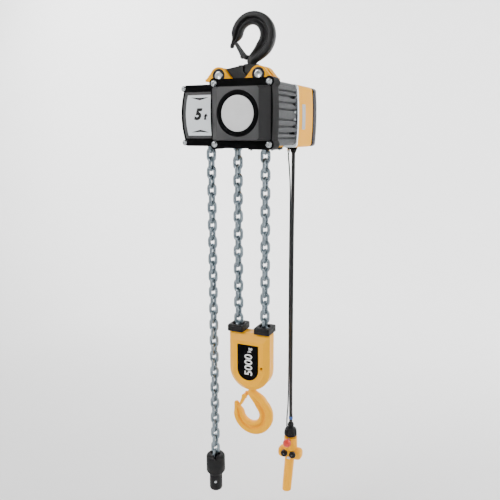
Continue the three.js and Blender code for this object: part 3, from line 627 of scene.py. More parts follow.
def makeLugs():
    # A base plate with two lugs at each pin: an arc of archRadius, run out to a foot on each side.
    s = suspension
    front, back = s["lugsY"][0][0], s["lugsY"][1][1]
    frameBody = block("lug_frame", -116, 116, front, back, s["plateBottom"], s["plateTop"])
    parts = [block("tool", -66, 66, back - 1, 72, s["plateBottom"], s["plateTop"])]
    for x in (-s["lugX"], s["lugX"]):
        profile = np.concatenate([arc(x, s["archZ"], s["archRadius"], 27, 153, 20),
                                  [[x - s["foot"], s["plateTop"] - 1.5],
                                   [x + s["foot"], s["plateTop"] - 1.5]]])
        parts += [prism("tool", profile, y0, y1) for y0, y1 in s["lugsY"]]
    combine(frameBody, "UNION", *parts)
    holes = [rod("tool", s["pin"] + 0.3, "y", -120, -30, (x, 0, s["pinZ"])) for x in (-s["lugX"],
                                                                                      s["lugX"])]
    seats = [rod("tool", s["bush"], "y", front - 2, front + 6, (x, 0, s["pinZ"]), 48) for x in (-s["lugX"],
                                                                                                s["lugX"])]
    gapTool = block("tool", -22, 22, front - 2, s["lugsY"][0][1], s["plateBottom"] - 1, s["plateTop"] + 1)
    combine(frameBody, "DIFFERENCE", *holes, *seats, gapTool)
    bevel(frameBody, 2.6, 3, 35)
    dress(frameBody, yellowPowder, "hoist_body", "yellow_paint", "load_frame")
    for side, x in (("left", -s["lugX"]), ("right", s["lugX"])):
        r = s["pin"]
        pin = turnedPiece("yoke_pin_" + side, [
            [0, front - 0.6], [7, front - 0.6], [8, front - 1.5], [r - 1.6, front - 1.5], [r, front],
            [r, back + 0.5], [r - 1.4, back + 1.5], [0, back + 1.5]], "y", [x, 0, s["pinZ"]], 56)
        dress(pin, zincPlate, "hoist_body", "bright_steel", "suspension_pin_" + side)
        outer = s["bush"] - 0.3
        bush = turnedPiece("lug_bush_" + side, [
            [r + 0.5, front + 5.6], [r + 0.5, front + 0.8], [r + 1.4, front - 0.2],
            [outer - 1, front - 0.2], [outer, front + 0.8], [outer, front + 5.6]], "y", [x, 0,
                                                                                         s["pinZ"]], 56)
        dress(bush, blackOxide, "hoist_body", "forged_steel")


makeYoke()
makeLugs()
print("suspension")


# Body of the hoist. Sizes in millimetres, seen from the front: x to the right, z up.
gearBody = {
    "middle": -285.0, "left": -76.0, "right": 119.0, "front": -100.0, "back": 95.0, "top": -182.0,
    "bottom": -384.0, "corner": 14.0, "ribHeight": 5.5,
    "grooves": (-91, -75, -59, -38, -16.5, 16.5, 38, 59, 75, 91), "slotZ": (-228, -344.5),
    "slotY": (36, 80), "holeZ": (-250, -322), "holeY": 72, "screwZ": (-275, -299),
}
bay = {"left": -180.0, "front": -27.0, "back": 84.0, "top": -189.0, "bottom": -381.0}


def ribbedOutline(inset, steps=180):
    # Right flank: x = right + ribHeight * (1 - deepest groove), each groove a narrow bell 4 mm wide.
    g = gearBody
    z = np.linspace(g["bottom"] + g["corner"], g["top"] - g["corner"], steps)
    grooves = g["middle"] + np.array(g["grooves"])
    valley = np.exp(-((z[:, None] - grooves[None, :]) / 2.6) ** 2).max(1)
    x = g["right"] + g["ribHeight"] * (1 - 0.9 * valley) - inset
    flank = np.stack([x, z], 1)
    r = g["corner"]
    top, bottom = g["top"] - inset, g["bottom"] + inset
    return np.concatenate([
        flank, arc(x[-1] - r, top - r, r, 0, 90, 8)[1:],
        [[g["left"] + inset, top], [g["left"] + inset, bottom]],
        arc(x[0] - r, bottom + r, r, 270, 360, 8)[:-1]])


def makeGearHousing():
    # The ribbed outline and a smaller copy make a tube, cut by slots, screw holes and chain holes.
    g = gearBody
    outer = ribbedOutline(0)
    inner = outer.copy()
    centre = np.array([(g["left"] + g["right"]) / 2, g["middle"]])
    inner = centre + (inner - centre) * [0.94, 0.94]
    shell = [np.stack([o[:, 0], np.full(len(o), y), o[:, 1]], 1)
             for o, y in ((outer, g["front"]), (outer, g["back"]), (inner, g["back"]), (inner, g["front"]))]
    shell = np.array(shell)
    housing = skin("gear_housing_casting", shell, closed=True)
    cutters = []
    for z in g["slotZ"]:
        slot = roundedRect(0, 0, g["slotY"][1] - g["slotY"][0], 8.5, 4.2)
        y = (g["slotY"][0] + g["slotY"][1]) / 2
        ring = lambda x: np.stack([np.full(len(slot), x), slot[:, 0] + y, slot[:, 1] + z], 1)
        cutters.append(skin("tool", [ring(90), ring(140)]))
    cutters += [rod("tool", 5.5, "x", 90, 140, (0, g["holeY"], z), 24) for z in g["holeZ"]]
    cutters += [block("tool", x - 21, x + 21, -21, 21, -400, -350) for x in (-51, 51)]
    combine(housing, "DIFFERENCE", *cutters)
    bevel(housing, 0.8, 2, 35)
    dress(housing, blastedAluminium, "hoist_body", "cast_aluminium", "gear_housing")
    walls = [[x, z] for x, z in ((-77, bay["top"]), (bay["left"], bay["top"]), (bay["left"], bay["bottom"]),
                                 (-77, bay["bottom"]))]
    wheelBay = prism("wheel_bay", walls, bay["front"], bay["back"])
    room = block("tool", bay["left"] + 5, -60, bay["front"] + 4, bay["back"] - 5, bay["bottom"] + 5,
                 bay["top"] - 5)
    combine(wheelBay, "DIFFERENCE", room, block("tool", -174, -132, -21, 21, -400, -370))
    bevel(wheelBay, 1.5, 2, 35)
    dress(wheelBay, blastedAluminium, "hoist_body", "cast_aluminium")
    for index, z in enumerate(g["screwZ"]):
        screw = turnedPiece("housing_screw_%d" % (index + 1), [
            [0, 121], [4.4, 121], [4.4, 126.5], [3.6, 127.4], [2.4, 127.4], [2.0, 125.5],
            [0, 125.5]], "x", [0, 76, z], 24)
        dress(screw, zincPlate, "hoist_body", "bright_steel")


# Front cover: rim with four lobes, and a raised middle with a bevel all round.
frontCover = {
    "x": 31.0, "z": -285.0, "halfWidth": 106.0, "halfHeight": 105.5, "bulge": 6.0, "front": -150.0,
    "back": -100.3, "lobe": 93.0, "lobeRadius": 16.0, "baseWidth": 196.0, "baseHeight": 164.0,
    "panelWidth": 143.0, "panelHeight": 160.0, "panelY": -177.0, "swell": 6.0,
}


def lobedOutline(inset=0.0):
    # Barrel sides x = halfWidth - bulge * (z / halfHeight)^2 between four lobes.
    c = frontCover
    w, h = c["halfWidth"] - inset, c["halfHeight"] - inset
    corner = arc(c["lobe"], c["lobe"], c["lobeRadius"] - inset, -54, 128.6, 16)
    z = np.linspace(-78, 78, 17)
    side = np.stack([w - c["bulge"] * (z / h) ** 2, z], 1)
    right = np.concatenate([(corner * [1, -1])[::-1], side, corner])
    return np.concatenate([right, (right * [-1, 1])[::-1]]) + [c["x"], c["z"]]


def makeFrontCover():
    # The rim is a hollow lobed tray. The panel is lofted through rounded rectangles, smaller to the front.
    c = frontCover
    rim = prism("cover_rim", lobedOutline(), c["front"], c["back"])
    hollow = prism("tool", lobedOutline(6), c["front"] + 8, c["back"] + 5)
    notch = block("tool", -119, 119, -107, -95, -182.4, -170)
    seats = [turnedPiece("tool", [[0, c["front"] - 2], [11.5, c["front"] - 2], [11.5, c["front"] + 1.5],
                                  [0, c["front"] + 1.5]], "y", [c["x"] + u, 0, c["z"] + v], 32)
             for u in (-c["lobe"], c["lobe"]) for v in (-c["lobe"], c["lobe"])]
    combine(rim, "DIFFERENCE", hollow, notch, *seats)
    bevel(rim, 2.2, 3, 35)
    dress(rim, blackNylon, "hoist_body", "black_plastic")
    rings = []
    for width, height, corner, y in (
            (c["baseWidth"], c["baseHeight"], 6, c["front"] + 2),
            (c["baseWidth"], c["baseHeight"], 6, c["front"] - 1.5),
            (c["panelWidth"] + 4, c["panelHeight"] + 1.0, 13, c["panelY"] + 2.4),
            (c["panelWidth"], c["panelHeight"], 13, c["panelY"] + 0.4),
            (c["panelWidth"] - 2, c["panelHeight"] - 2, 13, c["panelY"]), (118, 118, 58.9, c["panelY"]),
            (116, 116, 57.9, c["panelY"] + 3)):
        line = roundedRect(c["x"], c["z"], width, height, corner, 12)
        if width == c["baseWidth"]:
            share = (line[:, 0] - c["x"]) / (width / 2)
            line[:, 0] += c["swell"] * share * (1 - ((line[:, 1] - c["z"]) / (height / 2)) ** 2)
        rings.append(np.stack([line[:, 0], np.full(len(line), y), line[:, 1]], 1))
    panel = skin("cover_panel", rings)
    bevel(panel, 0.6, 2, 25)
    dress(panel, greyNylon, "hoist_body", "grey_plastic", "front_cover")
    # the sloping faces take the darker copy: painted shade on the same moulding as the flat face
    panel.data.materials.append(paintedShadeNylon)
    paintedShadeFaces = [int(abs(face.normal.y) < 0.95) for face in panel.data.polygons]
    panel.data.polygons.foreach_set("material_index", paintedShadeFaces)
    ring = turnedPiece("cover_bezel", [
        [54.8, -174.6], [54.8, -178.4], [56.4, -179.8], [60, -180], [66, -180], [69.4, -178.6],
        [70, -176.8], [70, -174.6], [54.8, -174.6]], "y", [c["x"], 0, c["z"]], 128)
    dress(ring, blackNylon, "hoist_body", "black_plastic", "cover_ring")
    turn = np.linspace(0, 1, 9)
    crown = np.stack([54.4 * np.sin(turn * math.pi / 2), -178.6 + 1.6 * (1 - np.cos(turn * math.pi / 2))],
                     1)
    disc = turnedPiece("cover_roundel", np.concatenate([crown, [[54.4, -174.5], [0, -174.5]]]), "y",
                       [c["x"], 0, c["z"]], 128)
    dress(disc, pearlLacquer, "hoist_body", "plate_white", "cover_disc")
    number = 0
    for u in (-c["lobe"], c["lobe"]):
        for v in (-c["lobe"], c["lobe"]):
            number += 1
            capScrew("cover_cap_screw_%d" % number, c["x"] + u, c["z"] + v, c["front"], 10,
                     "cover_screw_%d" % number)


def capScrew(name, x, z, face, radius, node):
    # Washer-faced socket screw: washer, domed head, and a socket a quarter of the radius deep.
    # Depths grow towards -y.
    r = radius / 10
    head = turnedPiece(name, [
        [0, face - 2.4 * r], [2.7 * r, face - 2.4 * r], [2.9 * r, face - 5.0 * r],
        [3.4 * r, face - 5.3 * r], [6.2 * r, face - 5.2 * r], [7.2 * r, face - 4.4 * r],
        [7.4 * r, face - 1.8 * r], [9.6 * r, face - 1.6 * r], [10 * r, face - 1.1 * r],
        [10 * r, face + 1.4], [0, face + 1.4]], "y", [x, 0, z], 40)
    dress(head, zincPlate, "hoist_body", "bright_steel", node)


# Side box: barrel-shaped left flank, a frame round the capacity plate and two lugs for its screws.
sideBox = {
    "left": -251.0, "right": -78.0, "front": -33.0, "back": 92.0, "top": -184.0, "bottom": -387.0,
    "bulge": 19.0, "frameX": (-242.0, -79.0), "frameZ": (-361.0, -207.5), "frameBulge": 10.0,
    "plateX": (-231.0, -84.0), "plateZ": (-351.5, -217.5), "plateBulge": 9.5,
    "screwX": -239.0, "screwZ": (-375.5, -195.5), "barZ": 20.0, "barX": (-229.5, -79.0), "screwLug": 9.5,
    "letterWidth": 1.6, "letterLean": 0.28, "letterPlace": (-164.5, -299.0),
}


def barrelOutline(x0, x1, z0, z1, bulgeLeft, bulgeRight=0.0, steps=24):
    # Each side swells out as bulge * (1 - t^2), t from -1 to 1 up the side.
    t = np.linspace(-1, 1, steps + 1)
    z = (z0 + z1) / 2 + t * (z1 - z0) / 2
    return np.concatenate([np.stack([x1 - bulgeRight * t ** 2, z], 1),
                           np.stack([x0 + bulgeLeft * t ** 2, z], 1)[::-1]])


def makeSideBox():
    # A hollow barrel-sided box, a bar above and below, and the plate with its marks.
    b = sideBox
    shell = prism("side_cover_moulding",
                  barrelOutline(b["left"], b["right"], b["bottom"], b["top"], b["bulge"]),
                  b["front"] + 1.6, b["back"])
    lugsForScrews = [rod("tool", b["screwLug"], "y", b["front"] + 1.0, b["front"] + 22,
                         (b["screwX"], 0, z)) for z in b["screwZ"]]
    combine(shell, "UNION", *lugsForScrews)
    hollow = prism("tool", barrelOutline(b["left"] + 5, b["right"] + 5, b["bottom"] + 5, b["top"] - 5,
                                         b["bulge"]),
                   b["front"] + 7, b["back"] - 5)
    combine(shell, "DIFFERENCE", hollow, block("tool", -174, -132, -21, 21, -400, -375))
    bevel(shell, 2.2, 3, 35)
    dress(shell, blackNylon, "hoist_body", "black_plastic", "side_cover")
    for end, z0, z1 in (("top", b["top"] - b["barZ"], b["top"] - 0.6),
                        ("bottom", b["bottom"] + 0.6, b["bottom"] + b["barZ"] + 4)):
        x0, x1 = b["barX"]
        bar = prism("side_bar_" + end, [[x0, z0], [x1, z0], [x1, z1], [x0, z1]],
                    b["front"] - 1.4, b["front"] + 4)
        bevel(bar, 1.8, 3, 35)
        dress(bar, blackNylon, "hoist_body", "black_plastic")
    frameLine = barrelOutline(*b["frameX"], *b["frameZ"], b["frameBulge"])
    surround = prism("plate_surround", frameLine, b["front"] - 1.0, b["front"] + 3)
    bevel(surround, 0.8, 2, 35)
    dress(surround, greyNylon, "hoist_body", "grey_plastic")
    plateLine = barrelOutline(*b["plateX"], *b["plateZ"], b["plateBulge"])
    plate = prism("capacity_panel", plateLine, b["front"] - 2.0, b["front"] + 1)
    bevel(plate, 0.35, 2, 35)
    dress(plate, polyesterFilm, "hoist_body", "plate_white", "capacity_plate")
    for index, z in enumerate(b["screwZ"]):
        capScrew("side_cap_screw_%d" % (index + 1), b["screwX"], z, b["front"] + 1.0, 7.5,
                 "side_screw_%d" % (index + 1))
    inkFront, inkBack = b["front"] - 2.25, b["front"] - 1.9
    for end, tip, base in (("upper", -234.5, -225.0), ("lower", -332.0, -341.0)):
        middle = (base + tip) / 2
        line = np.array([[-210, base], [-176, base * 0.8 + tip * 0.2], [-142, base], [-157, middle],
                         [-176, tip], [-195, middle]])
        mark = prism("plate_mark_" + end, line, inkFront, inkBack)
        dress(mark, filmInk, "hoist_body", "black_plastic")
    words("plate_five", "5", 50, b["letterLean"], 2.6, (-182.5, inkFront, -280.5), (1, 0, 0),
          (0, 0, 1), filmInk, "hoist_body")
    letter = np.array([[2.2, 0], [7.4, 0], [7.4, 3.8], [6.0, 3.8], [6.0, 11], [8.6, 11], [8.6, 14.6],
                       [6.0, 14.6], [6.0, 20.5], [1.6, 18.5], [1.6, 14.6], [0, 14.6], [0, 11], [1.6, 11],
                       [1.6, 2.0]])
    across, lean = b["letterWidth"], b["letterLean"]
    left, foot = b["letterPlace"]
    slanted = np.stack([across * letter[:, 0] + lean * letter[:, 1] + left, letter[:, 1] + foot], 1)
    mark = prism("plate_t", slanted, inkFront, inkBack)
    dress(mark, filmInk, "hoist_body", "black_plastic")


def words(name, text, size, shear, weight, place, right, up, ink, body):
    # lettering: flat curve made a mesh, centred on its own box, then stood on a face
    curve = bpy.data.curves.new(name, "FONT")
    curve.body, curve.size, curve.shear, curve.offset, curve.extrude = text, size, shear, weight, 0.15
    curve.resolution_u = 6
    holder = bpy.data.objects.new(name + "_curve", curve)
    bpy.context.scene.collection.objects.link(holder)
    graph = bpy.context.evaluated_depsgraph_get()
    mesh = bpy.data.meshes.new_from_object(holder.evaluated_get(graph))
    points = np.empty(len(mesh.vertices) * 3)
    mesh.vertices.foreach_get("co", points)
    points = points.reshape(-1, 3)
    points[:, :2] -= (points[:, :2].max(0) + points[:, :2].min(0)) / 2
    right, up = np.array(right, float), np.array(up, float)
    outward = np.cross(right, up)
    world = np.array(place, float) + points[:, :1] * right + points[:, 1:2] * up + points[:, 2:] * outward
    faces = [list(face.vertices) for face in mesh.polygons]
    bpy.data.objects.remove(holder)
    piece = putMesh(name, world, faces)
    piece.data.shade_flat()
    dress(piece, ink, body, "black_plastic" if ink == filmInk else "plate_white")


# Motor end: flange, painted cover with a plain strip, end cap with corner bosses.
motorEnd = {"x": 31.0, "z": -287.0, "halfWidth": 99.0, "halfHeight": 105.0, "bulge": 5.0, "corner": 12.0,
            "flange": (95.3, 108.0), "cover": (108.3, 267.0), "cap": (267.3, 336.0), "wall": 4.0,
            "stripY": (140.0, 172.0), "stripZ": (-331.0, -246.0), "bossX": 84.0, "bossZ": 90.0,
            "bossRadius": 13.0}


def motorOutline(inset, corner=None):
    # barrel sides joined by rounded corners
    m = motorEnd
    r = (m["corner"] if corner is None else corner)
    w, h = m["halfWidth"] - inset, m["halfHeight"] - inset
    edge = m["bulge"] * ((h - r) / h) ** 2
    z = np.linspace(-(h - r), h - r, 25)
    side = np.stack([w - m["bulge"] * (z / h) ** 2, z], 1)
    top = arc(w - edge - r, h - r, r, 0, 90, 8)[1:]
    right = np.concatenate([(top * [1, -1])[::-1], side, top])
    return np.concatenate([right, (right * [-1, 1])[::-1]]) + [m["x"], m["z"]]


def makeMotorEnd():
    # Flange, cover and cap are lofted through the barrel outline, each ring inset by its own amount.
    m = motorEnd
    y0, y1 = m["flange"]
    flange = skin("motor_flange_ring", ringsOf([
        (motorOutline(1.2), y0), (motorOutline(0), y0 + 1.2), (motorOutline(0), y1 - 1.2),
        (motorOutline(1.2), y1)]))
    combine(flange, "DIFFERENCE", rod("tool", 10.6, "y", 80, 120, (m["x"], 0, -283)))
    bevel(flange, 0.3, 1, 40)
    dress(flange, machinedAluminium, "hoist_body", "cast_aluminium", "motor_flange")
    y0, y1 = m["cover"]
    pairs = [(motorOutline(1.0), y0), (motorOutline(0), y0 + 1.0), (motorOutline(0), y1 - 16)]
    for share in np.linspace(0, 1, 6)[1:]:
        pairs.append((motorOutline(5 * share ** 2.2), y1 - 16 + 16 * share))
    pairs += [(motorOutline(5 + m["wall"], 9), y1), (motorOutline(m["wall"], 9), y0)]
    cover = skin("motor_cover_pressing", ringsOf(pairs), closed=True)
    combine(cover, "DIFFERENCE", rod("tool", 8.2, "z", -400, -380, (86, 177, 0)))
    bevel(cover, 0.4, 2, 40)
    dress(cover, yellowPowder, "hoist_body", "yellow_paint", "motor_cover")
    z = np.linspace(*m["stripZ"], 17)
    x = m["x"] + m["halfWidth"] - m["bulge"] * ((z - m["z"]) / m["halfHeight"]) ** 2
    line = np.concatenate([np.stack([x + 0.7, z], 1), np.stack([x - 0.8, z], 1)[::-1]])
    strip = prism("cover_strip", line, *m["stripY"])
    bevel(strip, 0.3, 2, 40)
    dress(strip, satinStrip, "hoist_body", "grey_plastic")
    y0, y1 = m["cap"]
    shape = skin("end_cap_moulding", ringsOf([
        (motorOutline(2), y0), (motorOutline(0.8), y0 + 1), (motorOutline(0.5), y0 + 20),
        (motorOutline(0.6), y0 + 36), (motorOutline(3), y0 + 44), (motorOutline(6), y0 + 49),
        (motorOutline(11), y0 + 55), (motorOutline(17), y0 + 61), (motorOutline(24), y0 + 66),
        (motorOutline(30), y1), (motorOutline(36), y1), (motorOutline(37.5), y1 - 2),
        (motorOutline(42), y1 - 2)]))
    bosses = []
    for u in (-m["bossX"], m["bossX"]):
        for v in (-m["bossZ"], m["bossZ"]):
            profile = [[0, y0 + 0.2], [m["bossRadius"], y0 + 0.2], [m["bossRadius"], y0 + 28],
                       [m["bossRadius"] - 2, y0 + 33], [m["bossRadius"] - 5, y0 + 34], [6.5, y0 + 34],
                       [6.5, y0 + 26], [0, y0 + 26]]
            bosses.append(turnedPiece("tool", profile, "y", [m["x"] + u, 0, m["z"] + v], 40))
    combine(shape, "UNION", *bosses)
    bevel(shape, 0.8, 2, 35)
    dress(shape, capPlastic, "hoist_body", "end_cap_plastic", "end_cap")
    number = 0
    for u in (-m["bossX"], m["bossX"]):
        for v in (-m["bossZ"], m["bossZ"]):
            number += 1
            screw = turnedPiece("cap_screw_%d" % number, [
                [0, y0 + 25], [5.5, y0 + 25], [5.5, y0 + 30], [4.6, y0 + 31], [2.8, y0 + 31],
                [2.6, y0 + 28], [0, y0 + 28]],
                "y", [m["x"] + u, 0, m["z"] + v], 32)
            dress(screw, zincPlate, "hoist_body", "bright_steel")


# Below the body: chain anchor bracket and guide plate. Limits are x, then y, then z.
chainExit = {
    "x": 51.0, "hole": 22.0, "bracket": (-24, 100, -38, 38, -389.3, -384.4),
    "plate": (6, 96, -44, 44, -397.2, -389.6), "screws": ((14, -34), (88, -34), (14, 34), (88, 34)),
}


def makeChainExit():
    # A flat bracket and the guide plate under it, both bored for the standing fall, and four screws.
    e = chainExit
    x, hole = e["x"], e["hole"]
    bracket = block("anchor_plate", *e["bracket"])
    combine(bracket, "DIFFERENCE", rod("tool", hole, "z", -400, -380, (x, 0, 0), 48))
    bevel(bracket, 1.2, 2, 35)
    dress(bracket, yellowPowder, "hoist_body", "yellow_paint", "anchor_bracket")
    guide = block("guide_plate", *e["plate"])
    well = turnedPiece("tool", [[0, -386], [hole, -386], [hole, -394], [hole + 3, -399], [0, -399]], "z",
                       [x, 0, 0], 48)
    combine(guide, "DIFFERENCE", well)
    bevel(guide, 1.8, 3, 35)
    dress(guide, blackNylon, "hoist_body", "black_plastic", "chain_guide")
    for u, v in e["screws"]:
        screw = turnedPiece("guide_screw_%d_%d" % (u, v + 50), [
            [0, -396], [4, -396], [4, -399.6], [3.2, -400.4], [2, -400.4], [1.8, -398.5],
            [0, -398.5]], "z", [u, v, 0], 24)
        dress(screw, zincPlate, "hoist_body", "bright_steel")


makeGearHousing()
makeFrontCover()
makeSideBox()
makeMotorEnd()
makeChainExit()
print("body of the hoist")


# End stop of the slack fall, a rubber buffer in two halves held by a screw.
endStop = {"x": -153.0, "top": -1556.0, "waist": -1635.0, "bottom": -1707.0, "radius": 36.0, "neck": 24.5,
           "screwZ": -1667.0, "turn": 24.0}


def turnAbout(piece, x, degrees):
    # every point turned about the upright line through (x, 0)
    count = len(piece.data.vertices)
    points = np.empty(count * 3)
    piece.data.vertices.foreach_get("co", points)
    points = points.reshape(-1, 3)
    c, q = math.cos(math.radians(degrees)), math.sin(math.radians(degrees))
    across, deep = points[:, 0] - x * mm, points[:, 1].copy()
    points[:, 0] = x * mm + across * c - deep * q
    points[:, 1] = across * q + deep * c
    piece.data.vertices.foreach_set("co", points.ravel())
    piece.data.update()


def makeEndStop():
    # Turned profile: quarter-round shoulder, waist and rounded foot, with a cross-shaped chain hole.
    s = endStop
    turn = np.linspace(0, math.pi / 2, 9)
    shoulder = np.stack([s["radius"] - 14 + 14 * np.sin(turn), s["top"] - 14 + 14 * np.cos(turn)], 1)
    profile = np.concatenate([
        [[0, s["top"]]], shoulder, [[s["radius"], s["waist"] + 10], [s["radius"] - 1.5, s["waist"] + 6]],
        [[s["neck"] + 3, s["waist"] - 3], [s["neck"], s["waist"] - 7], [s["neck"], s["bottom"] + 9]],
        [[s["neck"] - 2, s["bottom"] + 4], [s["neck"] - 6, s["bottom"] + 0.8],
         [s["neck"] - 8, s["bottom"]], [0, s["bottom"]]]])
    body = turnedPiece("end_stop_buffer", profile, "z", [s["x"], 0, 0], 56)
    x = s["x"]
    slots = [block("tool", x - 19.5, x + 19.5, -6.6, 6.6, s["top"] - 60, s["top"] + 8),
             block("tool", x - 6.6, x + 6.6, -19.5, 19.5, s["top"] - 60, s["top"] + 8)]
    notch = prism("tool", [[x - 10, s["top"] + 6], [x, s["top"] - 13], [x + 10, s["top"] + 6]], -60, 60)
    parting = block("tool", x - 0.7, x + 0.7, -60, -s["neck"] + 1.5, s["bottom"] - 5, s["waist"] - 8)
    hole = rod("tool", 6.5, "y", -60, -s["neck"] + 4, (x, 0, s["screwZ"]), 32)
    for tool in (notch, parting, hole):
        turnAbout(tool, x, s["turn"])
    combine(body, "DIFFERENCE", *slots, notch, parting, hole)
    bevel(body, 1.4, 3, 35)
    dress(body, nitrileRubber, "slack_fall", "rubber", "end_stop")
    screw = turnedPiece("end_stop_screw", [
        [0, -16], [5.6, -16], [5.6, -22.4], [4.8, -23.4], [2.8, -23.4], [2.6, -20.8],
        [0, -20.8]], "y", [x, 0, s["screwZ"]], 32)
    turnAbout(screw, x, s["turn"])
    dress(screw, zincPlate, "slack_fall", "bright_steel")


# Load block: two half shells with wide bevels, a label, guide caps for the chain.
loadBlock = {"half": 78.0, "depth": 35.0, "top": -1039.0, "bottom": -1257.0, "chamfer": 18.0,
             "shoulder": 16.0, "label": 40.0, "labelTop": -1081.0, "labelArc": -1174.0}


def blockOutline(inset, topInset):
    # A half circle below, straight sides, and two small quarter circles at the top.
    b = loadBlock
    r = b["half"] - inset
    corner = 5.0
    top = b["top"] - topInset
    return np.concatenate([
        arc(0, b["bottom"] + b["half"], r, 180, 360, 40),
        arc(r - corner, top - corner, corner, 0, 90, 5),
        arc(-r + corner, top - corner, corner, 90, 180, 5)])


def makeLoadBlock():
    # Two mirrored shells, lofted from the parting face to a bevelled front, with two chain pockets.
    b = loadBlock
    for name, sign, node in (("block_shell_front", -1, "block_front"),
                             ("block_shell_back", 1, "block_back")):
        rings = ringsOf([
            (blockOutline(1.0, 1.0), sign * 0.25), (blockOutline(0, 0), sign * 1.3),
            (blockOutline(0, 0), sign * (b["depth"] - b["shoulder"])),
            (blockOutline(b["chamfer"], 30), sign * b["depth"])])
        shell = skin(name, rings)
        cutters = [rod("tool", 18, "z", -1260, -1200, (0, 0, 0), 48)]
        cutters += [block("tool", x - 20, x + 20, -20, 20, -1172, -1030) for x in (-51, 51)]
        combine(shell, "DIFFERENCE", *cutters)
        if sign < 0:
            bore = rod("tool", 5.2, "y", -60, -18, (52, 0, -1163), 32)
            combine(shell, "DIFFERENCE", bore)
        bevel(shell, 2.4, 3, 20)
        dress(shell, yellowEnamel, "load_block", "yellow_paint", node)
    screw = turnedPiece("block_screw", [
        [0, -17], [4.6, -17], [4.6, -23.5], [3.8, -24.3], [2.3, -24.3], [2.1, -21.5],
        [0, -21.5]], "y", [52, 0, -1163], 24)
    dress(screw, blackOxide, "load_block", "bright_steel")
    line = np.concatenate([arc(0, b["labelArc"], b["label"], 180, 360, 32),
                           [[b["label"], b["labelTop"]], [-b["label"], b["labelTop"]]]])
    label = prism("load_label", line, -b["depth"] - 1.6, -b["depth"] + 1)
    bevel(label, 0.4, 2, 35)
    dress(label, blackNylon, "load_block", "black_plastic", "block_label")
    words("label_number", "5000", 41, 0.0, 0.7, (3, -b["depth"] - 1.9, -1154), (0, 0, 1), (-1, 0, 0),
          whiteInk, "load_block")
    words("label_unit", "kg", 20, 0.0, 0.2, (9.0, -b["depth"] - 1.9, -1098), (0, 0, 1), (-1, 0, 0),
          whiteInk, "load_block")
    for side, x in (("left", -51), ("right", 51)):
        pad = skin("chain_cap_" + side, [
            np.stack([o[:, 0], o[:, 1], np.full(len(o), z)], 1) for o, z in (
                (roundedRect(x, 0, 58, 68, 3, 4), -1037.8), (roundedRect(x, 0, 58, 68, 3, 4), -1017),
                (roundedRect(x, 0, 53, 63, 3, 4), -1014.2))])
        cross = [block("tool", x - 20, x + 20, -8, 8, -1050, -1000),
                 block("tool", x - 8, x + 8, -20, 20, -1050, -1000)]
        funnel = turnedPiece("tool", [[0, -1040], [17, -1040], [17, -1023], [22, -1013], [0, -1013]], "z",
                             [x, 0, 0], 40)
        combine(pad, "DIFFERENCE", *cross, funnel)
        bevel(pad, 1.6, 3, 30)
        dress(pad, nitrileRubber, "load_block", "rubber", "guide_cap_" + side)


makeEndStop()
makeLoadBlock()
print("load block and end stop")


# Pendant control: gland, pleated boot, two-lobed head, leaning grip and the buttons.
pendant = {"x": 90.0, "y": 177.0, "headTop": -1521.1, "headFoot": -1572.0, "cross": -1589.5,
           "lean": 4.5, "buttonX": 17.0, "buttonZ": -1585.0, "stopZ": -1530.0, "tie": (-1447.0, -1436.0)}


# The gland under the motor cover, where the cable and its relief cord leave.
gland = {"x": 86, "y": 177, "reliefX": 67, "nutTop": -392.3, "nut": 14, "sleeve": 11.2, "foot": -411,
         "ribs": 12, "plate": (59, 98, 167, 187)}


def makeGland():
    # A hexagonal nut, a ribbed sleeve that narrows downwards, its plate and the eye of the relief cord.
    g = gland
    x, y, nutTop = g["x"], g["y"], g["nutTop"]
    outer, inner = arc(x, y, g["nut"], 0, 300, 5), arc(x, y, g["nut"] - 1.4, 0, 300, 5)
    nut = skin("gland_nut", [
        np.stack([o[:, 0], o[:, 1], np.full(len(o), z)], 1) for o, z in (
            (inner, nutTop - 9.4), (outer, nutTop - 8.4), (outer, nutTop - 1), (inner, nutTop))])
    bevel(nut, 0.5, 2, 20)
    dress(nut, blackNylon, "hoist_body", "black_plastic", "cable_gland")
    ribs = []
    for index, z in enumerate(np.linspace(nutTop - 9, g["foot"], g["ribs"])):
        radius = g["sleeve"] - 2.6 * (nutTop - 9 - z) / 10
        ribs += [[radius + 0.5 * (index % 2), z]]
    profile = [[0, nutTop - 8], [g["sleeve"], nutTop - 8]] + ribs + [[8.2, -411.8], [6.8, -412], [0, -411]]
    sleeve = turnedPiece("gland_sleeve", profile, "z", [x, y, 0], 40)
    dress(sleeve, nitrileRubber, "hoist_body", "rubber")
    plate = block("gland_plate", *g["plate"], nutTop - 3, nutTop + 0.1)
    bevel(plate, 1.2, 2, 35)
    dress(plate, blackNylon, "hoist_body", "black_plastic")
    eye = turnedPiece("relief_eye",
                      [[0, nutTop - 2], [5, nutTop - 2], [5, -406], [4.4, -411], [3.4, -412], [0, -411.6]],
                      "z", [g["reliefX"], y, 0], 32)
    dress(eye, zincPlate, "hoist_body", "bright_steel")


